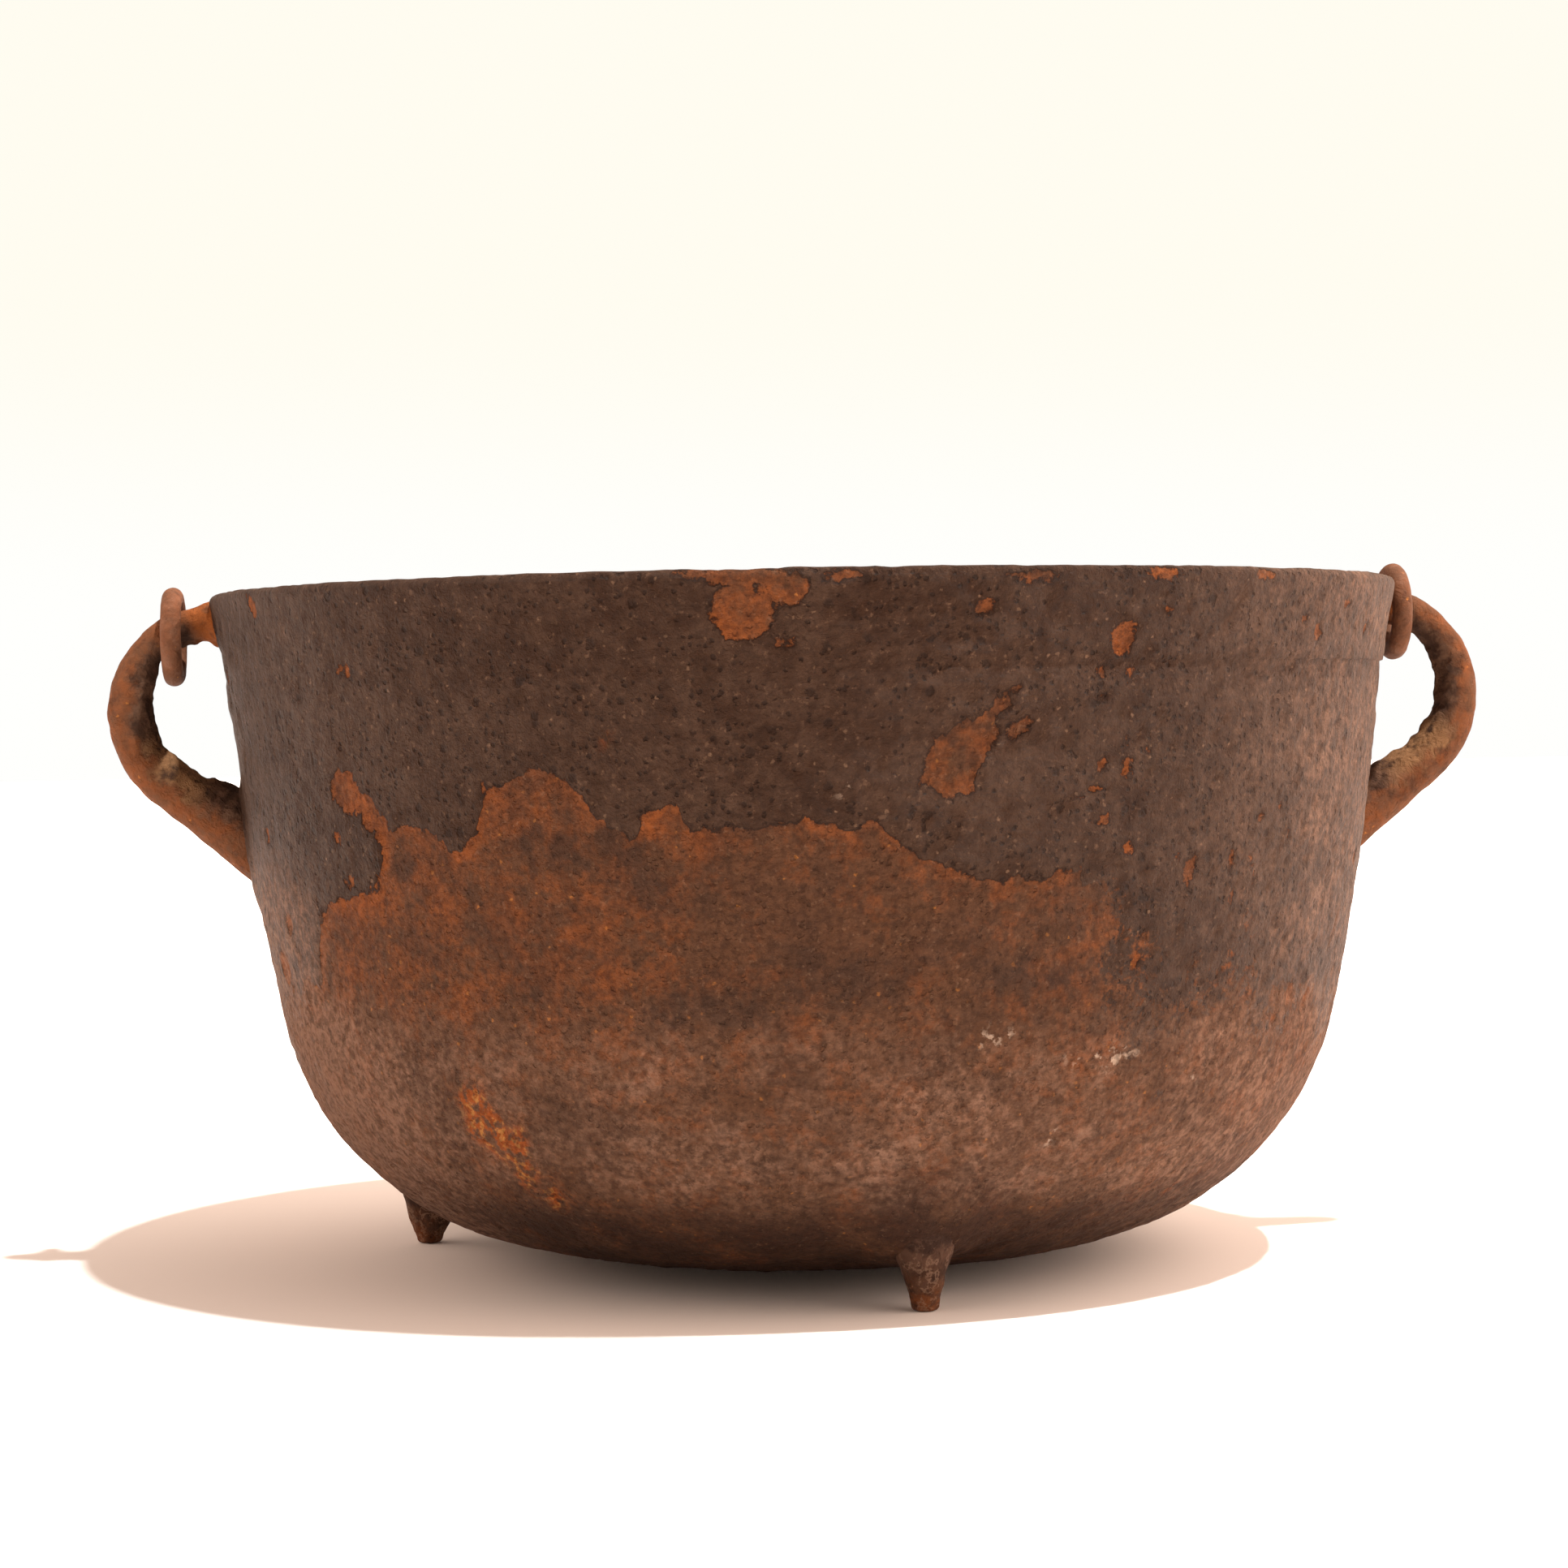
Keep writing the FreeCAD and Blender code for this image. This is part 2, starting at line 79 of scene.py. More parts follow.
def finished(bm, name, material, slot, body, *nodes):
    """Turns a bmesh drawn in millimetres into a smooth named piece that stands for CAD nodes."""
    bmesh.ops.scale(bm, vec=(MM, MM, MM), verts=bm.verts)
    for face in bm.faces:
        face.smooth = True
    mesh = bpy.data.meshes.new(name)
    bm.to_mesh(mesh)
    bm.free()
    mesh.materials.append(material)
    piece = bpy.data.objects.new(name, mesh)
    bpy.context.scene.collection.objects.link(piece)
    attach(piece, body)
    if nodes:
        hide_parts(*nodes)
    return piece


def clouds(place, size, layers=3):
    """Smooth lumps about size mm across, roughly -1 to 1."""
    return noise.fractal(place / size, 1.0, 2.0, layers)


def eased(value, low, high):
    """0 below low, 1 above high, with a smooth rise between; low may be the greater."""
    share = min(1.0, max(0.0, (value - low) / (high - low)))
    return share * share * (3.0 - 2.0 * share)


class Pen:
    """Draws a section's outline in the XZ plane as a line of edges."""

    def __init__(self, bm, x, z):
        self.bm = bm
        self.tip = bm.verts.new((x, 0.0, z))

    def run(self, x, z, steps):
        """A straight run to a point."""
        step = (Vector((x, 0.0, z)) - self.tip.co) / steps
        for _ in range(steps):
            made = bmesh.ops.extrude_vert_indiv(self.bm, verts=[self.tip])
            self.tip = made["verts"][0]
            bmesh.ops.translate(self.bm, vec=step, verts=[self.tip])

    def bend(self, x, z, degrees, steps):
        """An arc about a centre, upwards from +X where the angle is positive."""
        made = bmesh.ops.spin(self.bm, geom=[self.tip], cent=(x, 0.0, z), axis=(0.0, -1.0, 0.0),
                              angle=math.radians(degrees), steps=steps, use_duplicate=False)
        self.tip = next(v for v in made["geom_last"] if isinstance(v, bmesh.types.BMVert))


def bowl_section(bm):
    """The wall's outline: bottom centre, belly, wall, band, lip, and back down inside."""
    pen = Pen(bm, 0.0, BOTTOM)
    pen.run(FLAT_RADIUS, BOTTOM, 10)
    pen.bend(*BEND_CENTRE, BEND_ANGLE, 7)
    pen.bend(*BELLY_CENTRE, BELLY_ANGLE, 44)
    pen.bend(*WALL_CENTRE, WALL_ANGLE, 46)
    pen.run(195.4, BAND_FOOT, 1)
    pen.run(199.95, 222.5, 10)
    pen.bend(LIP_OUTER, LIP_LEVEL, 100.2, 5)
    pen.run(LIP_INNER, RIM_HEIGHT, 1)
    pen.bend(LIP_INNER, LIP_LEVEL, 79.8, 4)
    pen.run(188.8, 198.0, 7)
    pen.bend(*WALL_CENTRE, -WALL_ANGLE, 10)
    pen.bend(*BELLY_CENTRE, -BELLY_ANGLE, 12)
    pen.bend(*BEND_CENTRE, -BEND_ANGLE, 3)
    pen.run(0.0, INSIDE_BOTTOM, 5)


def drawn_tube(bm, frames, segments):
    """A capped tube drawn through unit-circle frames. Marks each vertex with its side of the
    section, 1 on the circle's +X side and -1 on the other, and its share of the run.
    """
    side = bm.verts.layers.float.new("side")
    run = bm.verts.layers.float.new("run")
    ring = bmesh.ops.create_circle(bm, cap_ends=True, radius=1.0, segments=segments)["verts"]
    for vert in ring:
        vert[side] = vert.co.x
    bmesh.ops.transform(bm, matrix=frames[0], verts=ring)
    edges = list(bm.edges)
    for number, (before, after) in enumerate(zip(frames, frames[1:]), start=1):
        made = bmesh.ops.extrude_edge_only(bm, edges=edges)["geom"]
        ring = [v for v in made if isinstance(v, bmesh.types.BMVert)]
        fresh = set(ring)
        edges = [e for e in made
                 if isinstance(e, bmesh.types.BMEdge) and fresh.issuperset(e.verts)]
        bmesh.ops.transform(bm, matrix=after @ before.inverted(), verts=ring)
        for vert in ring:
            vert[run] = number / (len(frames) - 1)
    bmesh.ops.edgeloop_fill(bm, edges=edges)
    bmesh.ops.recalc_face_normals(bm, faces=bm.faces)
    bm.normal_update()
    return side, run


def along(stops, at):
    """A straight-line value between stops of (position, value), held past both ends."""
    for (start, low), (end, high) in zip(stops, stops[1:]):
        if at <= end:
            return low + (high - low) * max(0.0, (at - start) / (end - start))
    return stops[-1][1]


# ---------------------------------------------------------------- the bowl's worn skin

# Angles run from the front and are positive to the right as one faces it; the rest is in mm.
# Upper edge of the big rusted field that has lost its black scale: angle, height.
FIELD_TOP = [
    (-180, 104), (-166, 128), (-150, 133), (-133, 96), (-118, 84), (-96, 92), (-80, 84),
    (-70, 86), (-64, 98), (-62, 118), (-59, 126), (-55, 129), (-50.4, 132), (-48.6, 146),
    (-47.4, 153), (-45, 151), (-41, 148), (-39, 144), (-36.6, 149), (-36, 163), (-33, 166),
    (-31, 169), (-28, 168), (-26, 163), (-24, 153), (-21.2, 144), (-20.4, 154), (-18.2, 159),
    (-16.4, 157), (-15.8, 149), (-12, 151.5), (-8, 152), (-4, 151), (0, 151), (3, 144),
    (7, 136.5), (12, 134), (16.2, 134), (17.4, 138), (20.2, 137.5), (20.8, 128), (23, 112),
    (30, 101), (38, 94), (50, 88), (62, 84), (74, 80), (88, 92), (102, 118), (116, 122),
    (128, 96), (145, 82), (162, 90), (180, 104),
]
# Patches where the scale has lifted: angle, height, half width, half height, lean.
LIFTED = [
    (-53, 160.5, 8.4, 6.6, -20), (-50, 155, 4.6, 6.4, 20), (-48.4, 149.5, 3.4, 5.6, 0),
    (-55.4, 147, 2.6, 2.2, 0), (-54.6, 133.5, 3.4, 2.2, 0),
    (-11, 224, 15, 3.6, 0), (-10.5, 213, 9.5, 8, 0), (-6.5, 219, 6, 4.4, 0),
    (-66, 220, 2.6, 4, 15), (-51, 199, 3.6, 2, 0), (-7, 204, 3, 2, 0), (10, 213, 3, 2.4, 0),
    (-2, 223, 5, 2, 0), (14, 222, 7, 2, 0), (27, 223, 6, 1.8, 0), (39, 223, 4, 2, 0),
    (7.6, 169, 8.6, 11.5, -28), (9.6, 176, 6.4, 7.5, -35), (12, 185.5, 2.6, 2.6, 0),
    (13.2, 189.5, 1.5, 1.3, 0), (13.4, 178, 4.4, 2.3, 30), (10.6, 182.5, 2.4, 2, 0),
    (23, 204, 4.2, 4.6, -20), (27.5, 212, 2, 1.6, 0), (21, 194, 1.3, 3, 0), (24, 194, 1.4, 2, 0),
    (21.4, 187, 1.9, 1.4, 0), (24.4, 166, 2.2, 3.2, 0), (21.8, 167.4, 1.5, 2, 0),
    (21.2, 160, 2, 1.3, 0), (22.2, 151, 2, 1.8, 0), (25, 142, 2.3, 1.9, 20),
    (19.6, 158, 1.2, 1.2, 0), (26.6, 171, 1.1, 1.1, 0), (24, 174, 1, 2, 0),
    (32.6, 134, 2.9, 4.6, -15), (31, 138.4, 1.6, 1.1, 0), (35.4, 130, 1.4, 1.4, 0),
    (38, 137, 1.4, 3.2, 0), (38.8, 126, 1.4, 2.6, 0), (41, 136, 1, 2, 0), (42, 131, 1.1, 2.2, 0),
    (42, 149, 1.6, 1.4, 0), (45, 152, 1.3, 1.5, 0), (47, 143, 1.2, 1.6, 0),
    (46, 210, 1.3, 2.4, 0), (48.4, 206, 2, 2.3, 0), (54, 215, 1.6, 2, 0), (60, 207, 1.4, 3, 0),
    (27, 108, 2, 2.8, 0), (52, 92, 3, 4, 20), (56.4, 90, 2.6, 3, 0), (49.6, 85, 3, 2, 0),
    (63, 112, 1.6, 3, 0), (68, 133, 1.8, 2.6, 0), (71, 96, 3, 3, 0), (78, 168, 2, 4, 0),
    (-72, 146, 2, 3, 0), (-70, 118, 3, 4, 0), (-75, 102, 5, 7, 0), (-82, 196, 4, 5, 10),
    (112, 206, 14, 9, 10), (121, 188, 7, 12, -15), (138, 224, 22, 5, 0), (149, 170, 10, 13, 25),
    (158, 204, 5, 8, 0), (176, 220, 16, 7, 0), (-172, 177, 8, 6, 0), (-158, 196, 13, 9, -20),
    (-141, 216, 10, 7, 0), (-128, 168, 12, 8, 15), (-108, 205, 8, 12, 0), (-101, 178, 4, 5, 0),
]
# Islands of scale left standing inside the rusted field, and the dark film thinning off others,
# written the same way.
LEFT_STANDING = [
    (-38.4, 159, 2.6, 1.8, 0), (-160, 112, 12, 9, 0), (-84, 74, 14, 7, 0), (108, 100, 9, 7, 20),
    (170, 78, 15, 8, 0),
]
FILMED = [
    (-31, 149, 6, 6, 0), (-27.4, 142, 10, 7, 10), (-22.4, 145, 8, 9, 0), (-21, 136, 14, 8, -10),
    (-17.6, 131, 12, 6, 0), (-41, 143, 5, 5, 0), (-46, 140, 6, 5, 0), (-4, 106, 30, 9, 0),
    (-14, 96, 26, 8, 0), (16, 104, 22, 7, 0), (-150, 104, 30, 14, 0), (140, 70, 26, 12, 0),
]
# Streaks of yellow-orange stain low on the left, a fleck above the field, and pale dry marks.
STAINED = [
    (-42, 64, 9, 11, 20), (-39.6, 54, 11, 9, -10), (-38.6, 44, 6, 9, -30), (-36.4, 36, 4, 6, -30),
    (-23, 177.4, 1.7, 1.3, 0), (44, 32, 2.4, 1.8, 0), (146, 56, 12, 9, 20), (-120, 48, 8, 14, 10),
]
CHALKED = [
    (24.5, 79, 17, 4.6, 0), (20, 56, 3, 5, 0), (37, 70, 3, 3, 0), (-2, 161, 3.4, 3, 40),
    (12, 87, 12, 3, 0), (160, 150, 12, 6, 0),
]
SKIN = ("bare", "crisp", "film", "fresh", "dust_and_side_light", "darkened_low", "stain", "chalk")


def patch_depth(patch, turn, height, warp):
    """How many mm a point lies inside a patch; negative outside it."""
    middle, level, wide, tall, lean = patch
    loose = min(1.6, 0.25 + 0.13 * min(wide, tall))
    across = ((turn - middle + 180.0) % 360.0 - 180.0) * DEGREE_OF_WALL + warp.x * loose
    up = height - level + warp.z * loose
    lean = math.radians(lean)
    u = (across * math.cos(lean) + up * math.sin(lean)) / wide
    v = (up * math.cos(lean) - across * math.sin(lean)) / tall
    return (1.0 - math.hypot(u, v)) * min(wide, tall)


def deepest(patches, turn, height, warp):
    """The greatest depth inside any of the patches near enough to matter."""
    near = [p for p in patches
            if abs((turn - p[0] + 180.0) % 360.0 - 180.0) * DEGREE_OF_WALL < p[2] + p[3] + 16.0]
    return max((patch_depth(p, turn, height, warp) for p in near), default=-12.0)


def bareness(turn, height, place):
    """mm into ground that has lost its scale, negative on the scale, and how crisp its edge is."""
    ripple = noise.noise_vector(place / 5.8) * 2.2 + noise.noise_vector(place / 2.7) * 1.5
    swell = noise.noise_vector(place / 15.0) * 3.0
    crumbled = 1.0 - eased(turn, -70, -62) * eased(turn, 23, 17)
    field = along(FIELD_TOP, turn + (ripple.x + swell.x) / DEGREE_OF_WALL) - height
    crumbs = 22.0 * clouds(place, 36.0) + 12.0 * clouds(place, 10.0)
    field += (ripple.z + swell.z) + crumbled * crumbs
    field *= 1.0 - 0.93 * crumbled
    field = min(field, -deepest(LEFT_STANDING, turn, height, ripple + swell * 0.5))
    lifted = deepest(LIFTED, turn, height, ripple + swell * 0.35)
    crisp = 1.0 if lifted > field else 1.0 - crumbled
    return max(-12.0, min(12.0, max(field, lifted))), crisp


def bowl_skin(turn, height, place):
    """The skin's state at a point outside: how bare, fresh, dusty with painted side light, darkened low
    down, stained and chalky.
    """
    bare, crisp = bareness(turn, height, place)
    rim_of_bare = crisp * eased(bare, 10.5, 1.0)
    left = eased(turn, -4.0, -34.0) * eased(turn, -95.0, -62.0)
    fresh = 0.02 + 0.52 * rim_of_bare + 0.24 * left * eased(height, 84.0, 112.0)
    fresh += 0.10 * eased(height, 86.0, 104.0) + 0.30 * clouds(place, 24.0)
    fresh += 0.16 * crisp * eased(height - along(FIELD_TOP, turn), -2.0, 8.0)
    fresh -= 0.26 * eased(abs(turn - 1.0), 24.0, 10.0) * eased(height, 98.0, 120.0)
    band = eased(height, 26.0, 44.0) * eased(height, 104.0, 66.0)
    dust_and_side_light = band * (0.52 + 0.55 * clouds(place, 26.0) + 0.30 * clouds(place, 9.0))
    # Pale dust on the right and left sides: partly real dust, partly painted side light.
    right_side = eased(turn, 24.0, 62.0) * eased(turn, 128.0, 96.0)
    dust_and_side_light += 0.56 * right_side * (1.0 + 0.8 * clouds(place, 18.0))
    left_side = eased(turn, -56.0, -70.0) * eased(turn, -130.0, -100.0)
    dust_and_side_light += 1.00 * left_side * eased(height, 150.0, 118.0)
    left_front = eased(turn, -44.0, -60.0) * eased(turn, -120.0, -90.0)
    dust_and_side_light += 0.60 * left_front * eased(height, 104.0, 84.0)
    # Darker towards the bottom and round the legs' roots.
    darkened_low = eased(height, 40.0 + 7.0 * clouds(place, 22.0), 25.0)
    if height < 50.0:
        darkened_low = max(darkened_low, 1.1 * eased(from_leg(place), LEG_DARKENED, 15.0))
    stain = deepest(STAINED, turn, height, noise.noise_vector(place / 7.0) * 4.0)
    chalk = deepest(CHALKED, turn, height, noise.noise_vector(place / 7.0) * 3.0)
    film = deepest(FILMED, turn, height, noise.noise_vector(place / 9.0) * 5.0)
    return {"bare": bare, "crisp": crisp, "film": eased(film, -2.5, 3.5), "fresh": fresh,
            "dust_and_side_light": dust_and_side_light, "darkened_low": darkened_low, "stain": eased(stain, -1.5, 3.0),
            "chalk": eased(chalk, -1.0, 3.0)}


def inside_skin(height, place):
    """The skin inside: rust all over, darker low down where the last fill stood."""
    tide = eased(height, 92.0 + 5.0 * clouds(place, 40.0), 84.0)
    return {"bare": 5.0 + 9.0 * clouds(place, 26.0), "crisp": 0.5, "film": 0.0,
            "fresh": 0.5 + 0.4 * clouds(place, 30.0) - 0.4 * tide,
            "dust_and_side_light": 0.25 * tide + 0.35 * clouds(place, 14.0), "darkened_low": 0.45 * tide,
            "stain": 0.4 * eased(clouds(place, 34.0), 0.25, 0.6), "chalk": 0.0}


def from_leg(place):
    """How far a point lies from the nearest leg's middle line."""
    turns = (math.radians(turn) for turn in LEG_TURNS.values())
    legs = (Vector((LEG_OUT * math.cos(turn), LEG_OUT * math.sin(turn))) for turn in turns)
    return min((place.xy - leg).length for leg in legs)


def ear_mound(place):
    """How far the wall swells out round the ears' roots."""
    upper = math.hypot(place.y, place.z - 219.0) / 13.0
    lower = math.hypot(place.y / 14.0, (place.z - 143.0) / 25.0)
    return 1.4 * eased(upper, 1.1, 0.55) + 1.8 * eased(lower, 1.15, 0.6)


def band_faded(turn):
    """How far the step under the rim band has been lost in the casting; it shows at the right."""
    return 1.0 - 0.85 * eased(turn, 14.0, 52.0) * eased(turn, 175.0, 120.0)


def make_bowl(material):
    """The bowl: its section spun round, then roughened, pitted and stepped at the scale's edge."""
    bm = bmesh.new()
    bowl_section(bm)
    bmesh.ops.spin(bm, geom=bm.verts[:] + bm.edges[:], cent=(0.0, 0.0, 0.0), axis=(0.0, 0.0, 1.0),
                   angle=math.tau, steps=FACES_ROUND_BOWL, use_merge=True, use_duplicate=False)
    bmesh.ops.remove_doubles(bm, verts=bm.verts, dist=0.001)
    bmesh.ops.recalc_face_normals(bm, faces=bm.faces)
    bm.normal_update()
    layers = {name: bm.verts.layers.float.new(name) for name in SKIN}
    moves = []
    for vert in bm.verts:
        place = vert.co.copy()
        outside = vert.normal.dot(place - Vector((0.0, 0.0, 150.0))) > 0.0
        turn = math.degrees(math.atan2(place.x, -place.y))
        skin = bowl_skin(turn, place.z, place) if outside else inside_skin(place.z, place)
        for name, value in skin.items():
            vert[layers[name]] = value
        lift = 0.42 * noise.noise(place / 46.0)
        if outside:
            rough = 0.34 * clouds(place, 14.0) + 0.38 * noise.noise(place / 5.6)
            rough -= 0.50 * eased(noise.noise(place / 4.4), 0.15, 0.55)
            lift += rough * eased(place.xy.length, 66.0, 84.0)
            lift -= 0.65 * skin["crisp"] * eased(skin["bare"], -0.5, 1.1)
            lift += 4.6 * eased(from_leg(place), LEG_MOUND, 4.0) * (place.z < 60.0)
            lift += ear_mound(place) * (abs(place.x) > 170.0)
            below_band = eased(place.z, 172.0, 197.5) * (place.z < 197.8)
            lift += band_faded(turn) * 1.2 * below_band
            lift -= 0.5 * eased(place.z, 196.0, 222.0)
        lift *= 1.0 - 0.5 * eased(place.z, 212.0, 222.0)
        moves.append((vert, vert.normal * lift))
    for vert, move in moves:
        vert.co += move
    for vert in bm.verts:
        vert.co.z = min(vert.co.z, RIM_HEIGHT)
    return finished(bm, "bowl_shell", material, "bowl_iron", "pot", "bowl")


def make_gate_scar(material):
    """The broken-off gate on the bottom: a low rough ridge."""
    bm = bmesh.new()
    place = Matrix.Rotation(math.radians(GATE_TURN), 4, "Z") @ Matrix.Translation((0.0, 0.0, 4.5))
    size = Matrix.Diagonal((GATE_LENGTH, GATE_WIDTH, 2.0, 1.0))
    bmesh.ops.create_cube(bm, size=1.0, matrix=place @ size)
    bmesh.ops.subdivide_edges(bm, edges=[e for e in bm.edges if e.calc_length() > 20.0], cuts=48,
                              use_grid_fill=True)
    bmesh.ops.bevel(bm, geom=[e for e in bm.edges if e.calc_face_angle(0.0) > 0.5], offset=0.7,
                    offset_type="OFFSET", segments=3, profile=0.5, affect="EDGES", material=-1)
    bm.normal_update()
    for vert in bm.verts:
        vert.co.z += 0.25 * clouds(vert.co, 4.0) if vert.co.z < 4.4 else 0.0
        vert.co.z = max(vert.co.z, GATE_BOTTOM)
    return finished(bm, "gate_scar", material, "bowl_iron", "pot")


# ---------------------------------------------------------------- ears, legs and rings

# Lengths along the ear's middle line, from the upper root, and the section there.
EAR_HALF_HEIGHT = [(0, 8.4), (3, 7.4), (8, 6.3), (15, 5.9), (30, 5.6), (46, 7.0), (60, 7.5),
                   (78, 8.1), (90, 8.9), (101, 11.2), (112, 15.8), (116, 17.6)]
EAR_HALF_WIDTH = [(0, 9.6), (4, 7.8), (9, 6.5), (15, 5.9), (30, 5.6), (46, 6.9), (60, 7.4),
                  (78, 7.9), (90, 8.3), (101, 9.0), (112, 9.8), (116, 10.6)]
UPPER_ARM, UPPER_ARC, LOWER_ARC, LOWER_ARM = 15.1, 34.9, 34.0, 30.9


def ear_place(run):
    """Middle line point and outward direction in degrees, at a length from the upper root."""
    if run < UPPER_ARM:
        share = run / UPPER_ARM
        turn = UPPER_BEND_ANGLE + 21.0 * eased(share, 0.6, 0.0)
        return Vector(UPPER_ARM_ROOT).lerp(Vector(UPPER_ARM_END), share), turn
    run -= UPPER_ARM
    if run < UPPER_ARC:
        turn = UPPER_BEND_ANGLE * (1.0 - run / UPPER_ARC)
        reach, middle = UPPER_BEND, UPPER_BEND_OUT
    elif run < UPPER_ARC + LOWER_ARC:
        turn = -LOWER_BEND_ANGLE * (run - UPPER_ARC) / LOWER_ARC
        reach, middle = LOWER_BEND, LOWER_BEND_OUT
    else:
        share = (run - UPPER_ARC - LOWER_ARC) / LOWER_ARM
        turn = -LOWER_BEND_ANGLE - 39.0 * eased(share, 0.1, 1.0)
        return Vector(LOWER_ARM_START).lerp(Vector(LOWER_ARM_ROOT), share), turn
    out = Vector((math.cos(math.radians(turn)), math.sin(math.radians(turn))))
    return Vector((middle, EAR_TIP_HEIGHT)) + out * reach, turn


def ear_frame(run, side):
    """The unit-circle frame of the ear's section at a length along it; side is 1 right, -1 left."""
    middle, turn = ear_place(run)
    section = Matrix.Diagonal((along(EAR_HALF_HEIGHT, run), along(EAR_HALF_WIDTH, run), 1.0, 1.0))
    right_ear = (Matrix.Translation((middle.x, 0.0, middle.y))
                 @ Matrix.Rotation(math.radians(-turn), 4, "Y") @ section)
    return Matrix.Diagonal((side, 1.0, 1.0, 1.0)) @ right_ear


def make_ear(name, side, material):
    """An ear: an oval bar bent from root to root, smooth outside, ragged and ridged inside."""
    bm = bmesh.new()
    length = UPPER_ARM + UPPER_ARC + LOWER_ARC + LOWER_ARM
    frames = [ear_frame(length * step / EAR_STEPS, side) for step in range(EAR_STEPS + 1)]
    facing, _ = drawn_tube(bm, frames, EAR_SIDES)
    seed = Vector((40.0 * side, 0.0, 9.0 * side))
    moves = []
    for vert in bm.verts:
        place = vert.co + seed
        inward = eased(vert[facing], 0.1, -0.6)
        lift = 0.38 * clouds(place, 16.0) + 0.22 * clouds(place, 5.0) - 0.30
        lift += inward * (0.5 * clouds(place, 7.0) + 0.35 * noise.noise(place / 2.4))
        seam = math.exp(-(vert.co.y / 1.0) ** 2) * eased(abs(vert[facing]), 0.7, 0.95)
        lift += seam * (1.1 * inward + 0.25) * eased(noise.noise(place / 6.0), -0.45, 0.25)
        moves.append((vert, vert.normal * lift))
    for vert, move in moves:
        vert.co += move
        vert.co.x = max(-EAR_REACH, min(EAR_REACH, vert.co.x))
    return finished(bm, name + "_bar", material, "ear_iron", "pot", name)


# Up each leg from its sole: height, radius, lean.
LEG_SECTIONS = [(0.0, 2.6, 0.0), (0.25, 3.6, 0.0), (1.0, 4.3, 0.0), (3.0, 4.7, 0.0), (6.0, 5.2, 3.0),
                (9.0, 5.9, 8.0), (12.0, 6.7, 14.0), (15.0, 7.8, 20.0), (18.0, 9.2, 27.0),
                (20.6, 10.8, 33.0), (22.6, 12.2, 33.0), (23.8, 12.8, 33.0)]
LEG_HEIGHT = LEG_SECTIONS[-1][0]


def make_leg(name, material):
    """A leg: a blunt tapered peg that spreads and leans into the belly above it."""
    bm = bmesh.new()
    turn = Matrix.Rotation(math.radians(LEG_TURNS[name]), 4, "Z")
    out = turn @ Matrix.Translation((LEG_OUT, 0.0, 0.0))
    frames = []
    for step in range(LEG_STEPS + 1):
        height = LEG_HEIGHT * step / LEG_STEPS
        radius = along([(h, r) for h, r, _ in LEG_SECTIONS], height)
        lean = along([(h, a) for h, _, a in LEG_SECTIONS], height)
        outward = radius * (1.0 + 0.3 * eased(height, 0.0, 9.0))
        frames.append(out @ Matrix.Translation((0.0, 0.0, height))
                      @ Matrix.Rotation(math.radians(-lean), 4, "Y")
                      @ Matrix.Diagonal((outward, radius, 1.0, 1.0)))
    _, run = drawn_tube(bm, frames, LEG_SIDES)
    moves = []
    for vert in bm.verts:
        lift = 0.42 * clouds(vert.co, 9.0) + 0.22 * clouds(vert.co, 3.4) - 0.1
        moves.append((vert, vert.normal * lift * eased(vert[run], 0.0, 0.08)))
    for vert, move in moves:
        vert.co += move
    return finished(bm, name + "_peg", material, "leg_iron", "pot", name)


def make_ring(name, material):
    """A closed ring of round wire hung on an ear, a little uneven from wear."""
    bm = bmesh.new()
    reach, height = RINGS[name]
    upright = Matrix.Rotation(math.pi / 2, 4, "Y") @ Matrix.Rotation(math.pi / 2, 4, "X")
    bmesh.ops.create_circle(bm, radius=RING_WIRE, segments=WIRE_SIDES,
                            matrix=Matrix.Translation((0.0, 0.0, RING_RADIUS)) @ upright)
    bmesh.ops.spin(bm, geom=bm.verts[:] + bm.edges[:], cent=(0.0, 0.0, 0.0), axis=(1.0, 0.0, 0.0),
                   angle=math.tau, steps=RING_STEPS, use_merge=True, use_duplicate=False)
    bmesh.ops.remove_doubles(bm, verts=bm.verts, dist=0.001)
    bmesh.ops.translate(bm, vec=(reach, 0.0, height), verts=bm.verts)
    bmesh.ops.recalc_face_normals(bm, faces=bm.faces)
    bm.normal_update()
    moves = []
    for vert in bm.verts:
        lift = 0.16 * clouds(vert.co, 8.0) + 0.07 * noise.noise(vert.co / 2.2) - 0.14
        moves.append((vert, vert.normal * lift))
    for vert, move in moves:
        vert.co += move
    return finished(bm, name + "_loop", material, "ring_iron", name, name)


# ---------------------------------------------------------------- node helpers


def fit(tree, kind, values=None, **settings):
    """Adds a node, sets it up, and joins or fills its sockets."""
    node = tree.nodes.new(kind)
    for name, value in settings.items():
        setattr(node, name, value)
    for socket, value in (values or {}).items():
        if isinstance(value, bpy.types.NodeSocket):
            tree.links.new(value, node.inputs[socket])
        else:
            node.inputs[socket].default_value = value
    return node


def maths(tree, operation, first, second=0.0, clamp=False):
    """One sum on two values."""
    return fit(tree, "ShaderNodeMath", {0: first, 1: second}, operation=operation,
               use_clamp=clamp).outputs[0]


def tint(tree, amount, below, above, blend="MIX"):
    """Colour below with colour above laid over it by an amount."""
    return fit(tree, "ShaderNodeMix", {0: amount, 6: below, 7: above}, data_type="RGBA",
               blend_type=blend).outputs[2]


def ramp(tree, value, low, high):
    """0 at low, 1 at high, eased between."""
    return fit(tree, "ShaderNodeMapRange", {"Value": value, "From Min": low, "From Max": high},
               interpolation_type="SMOOTHSTEP").outputs[0]


def state(tree, name):
    """A value that the mesh carries at its vertices."""
    return fit(tree, "ShaderNodeAttribute", attribute_name=name).outputs["Fac"]


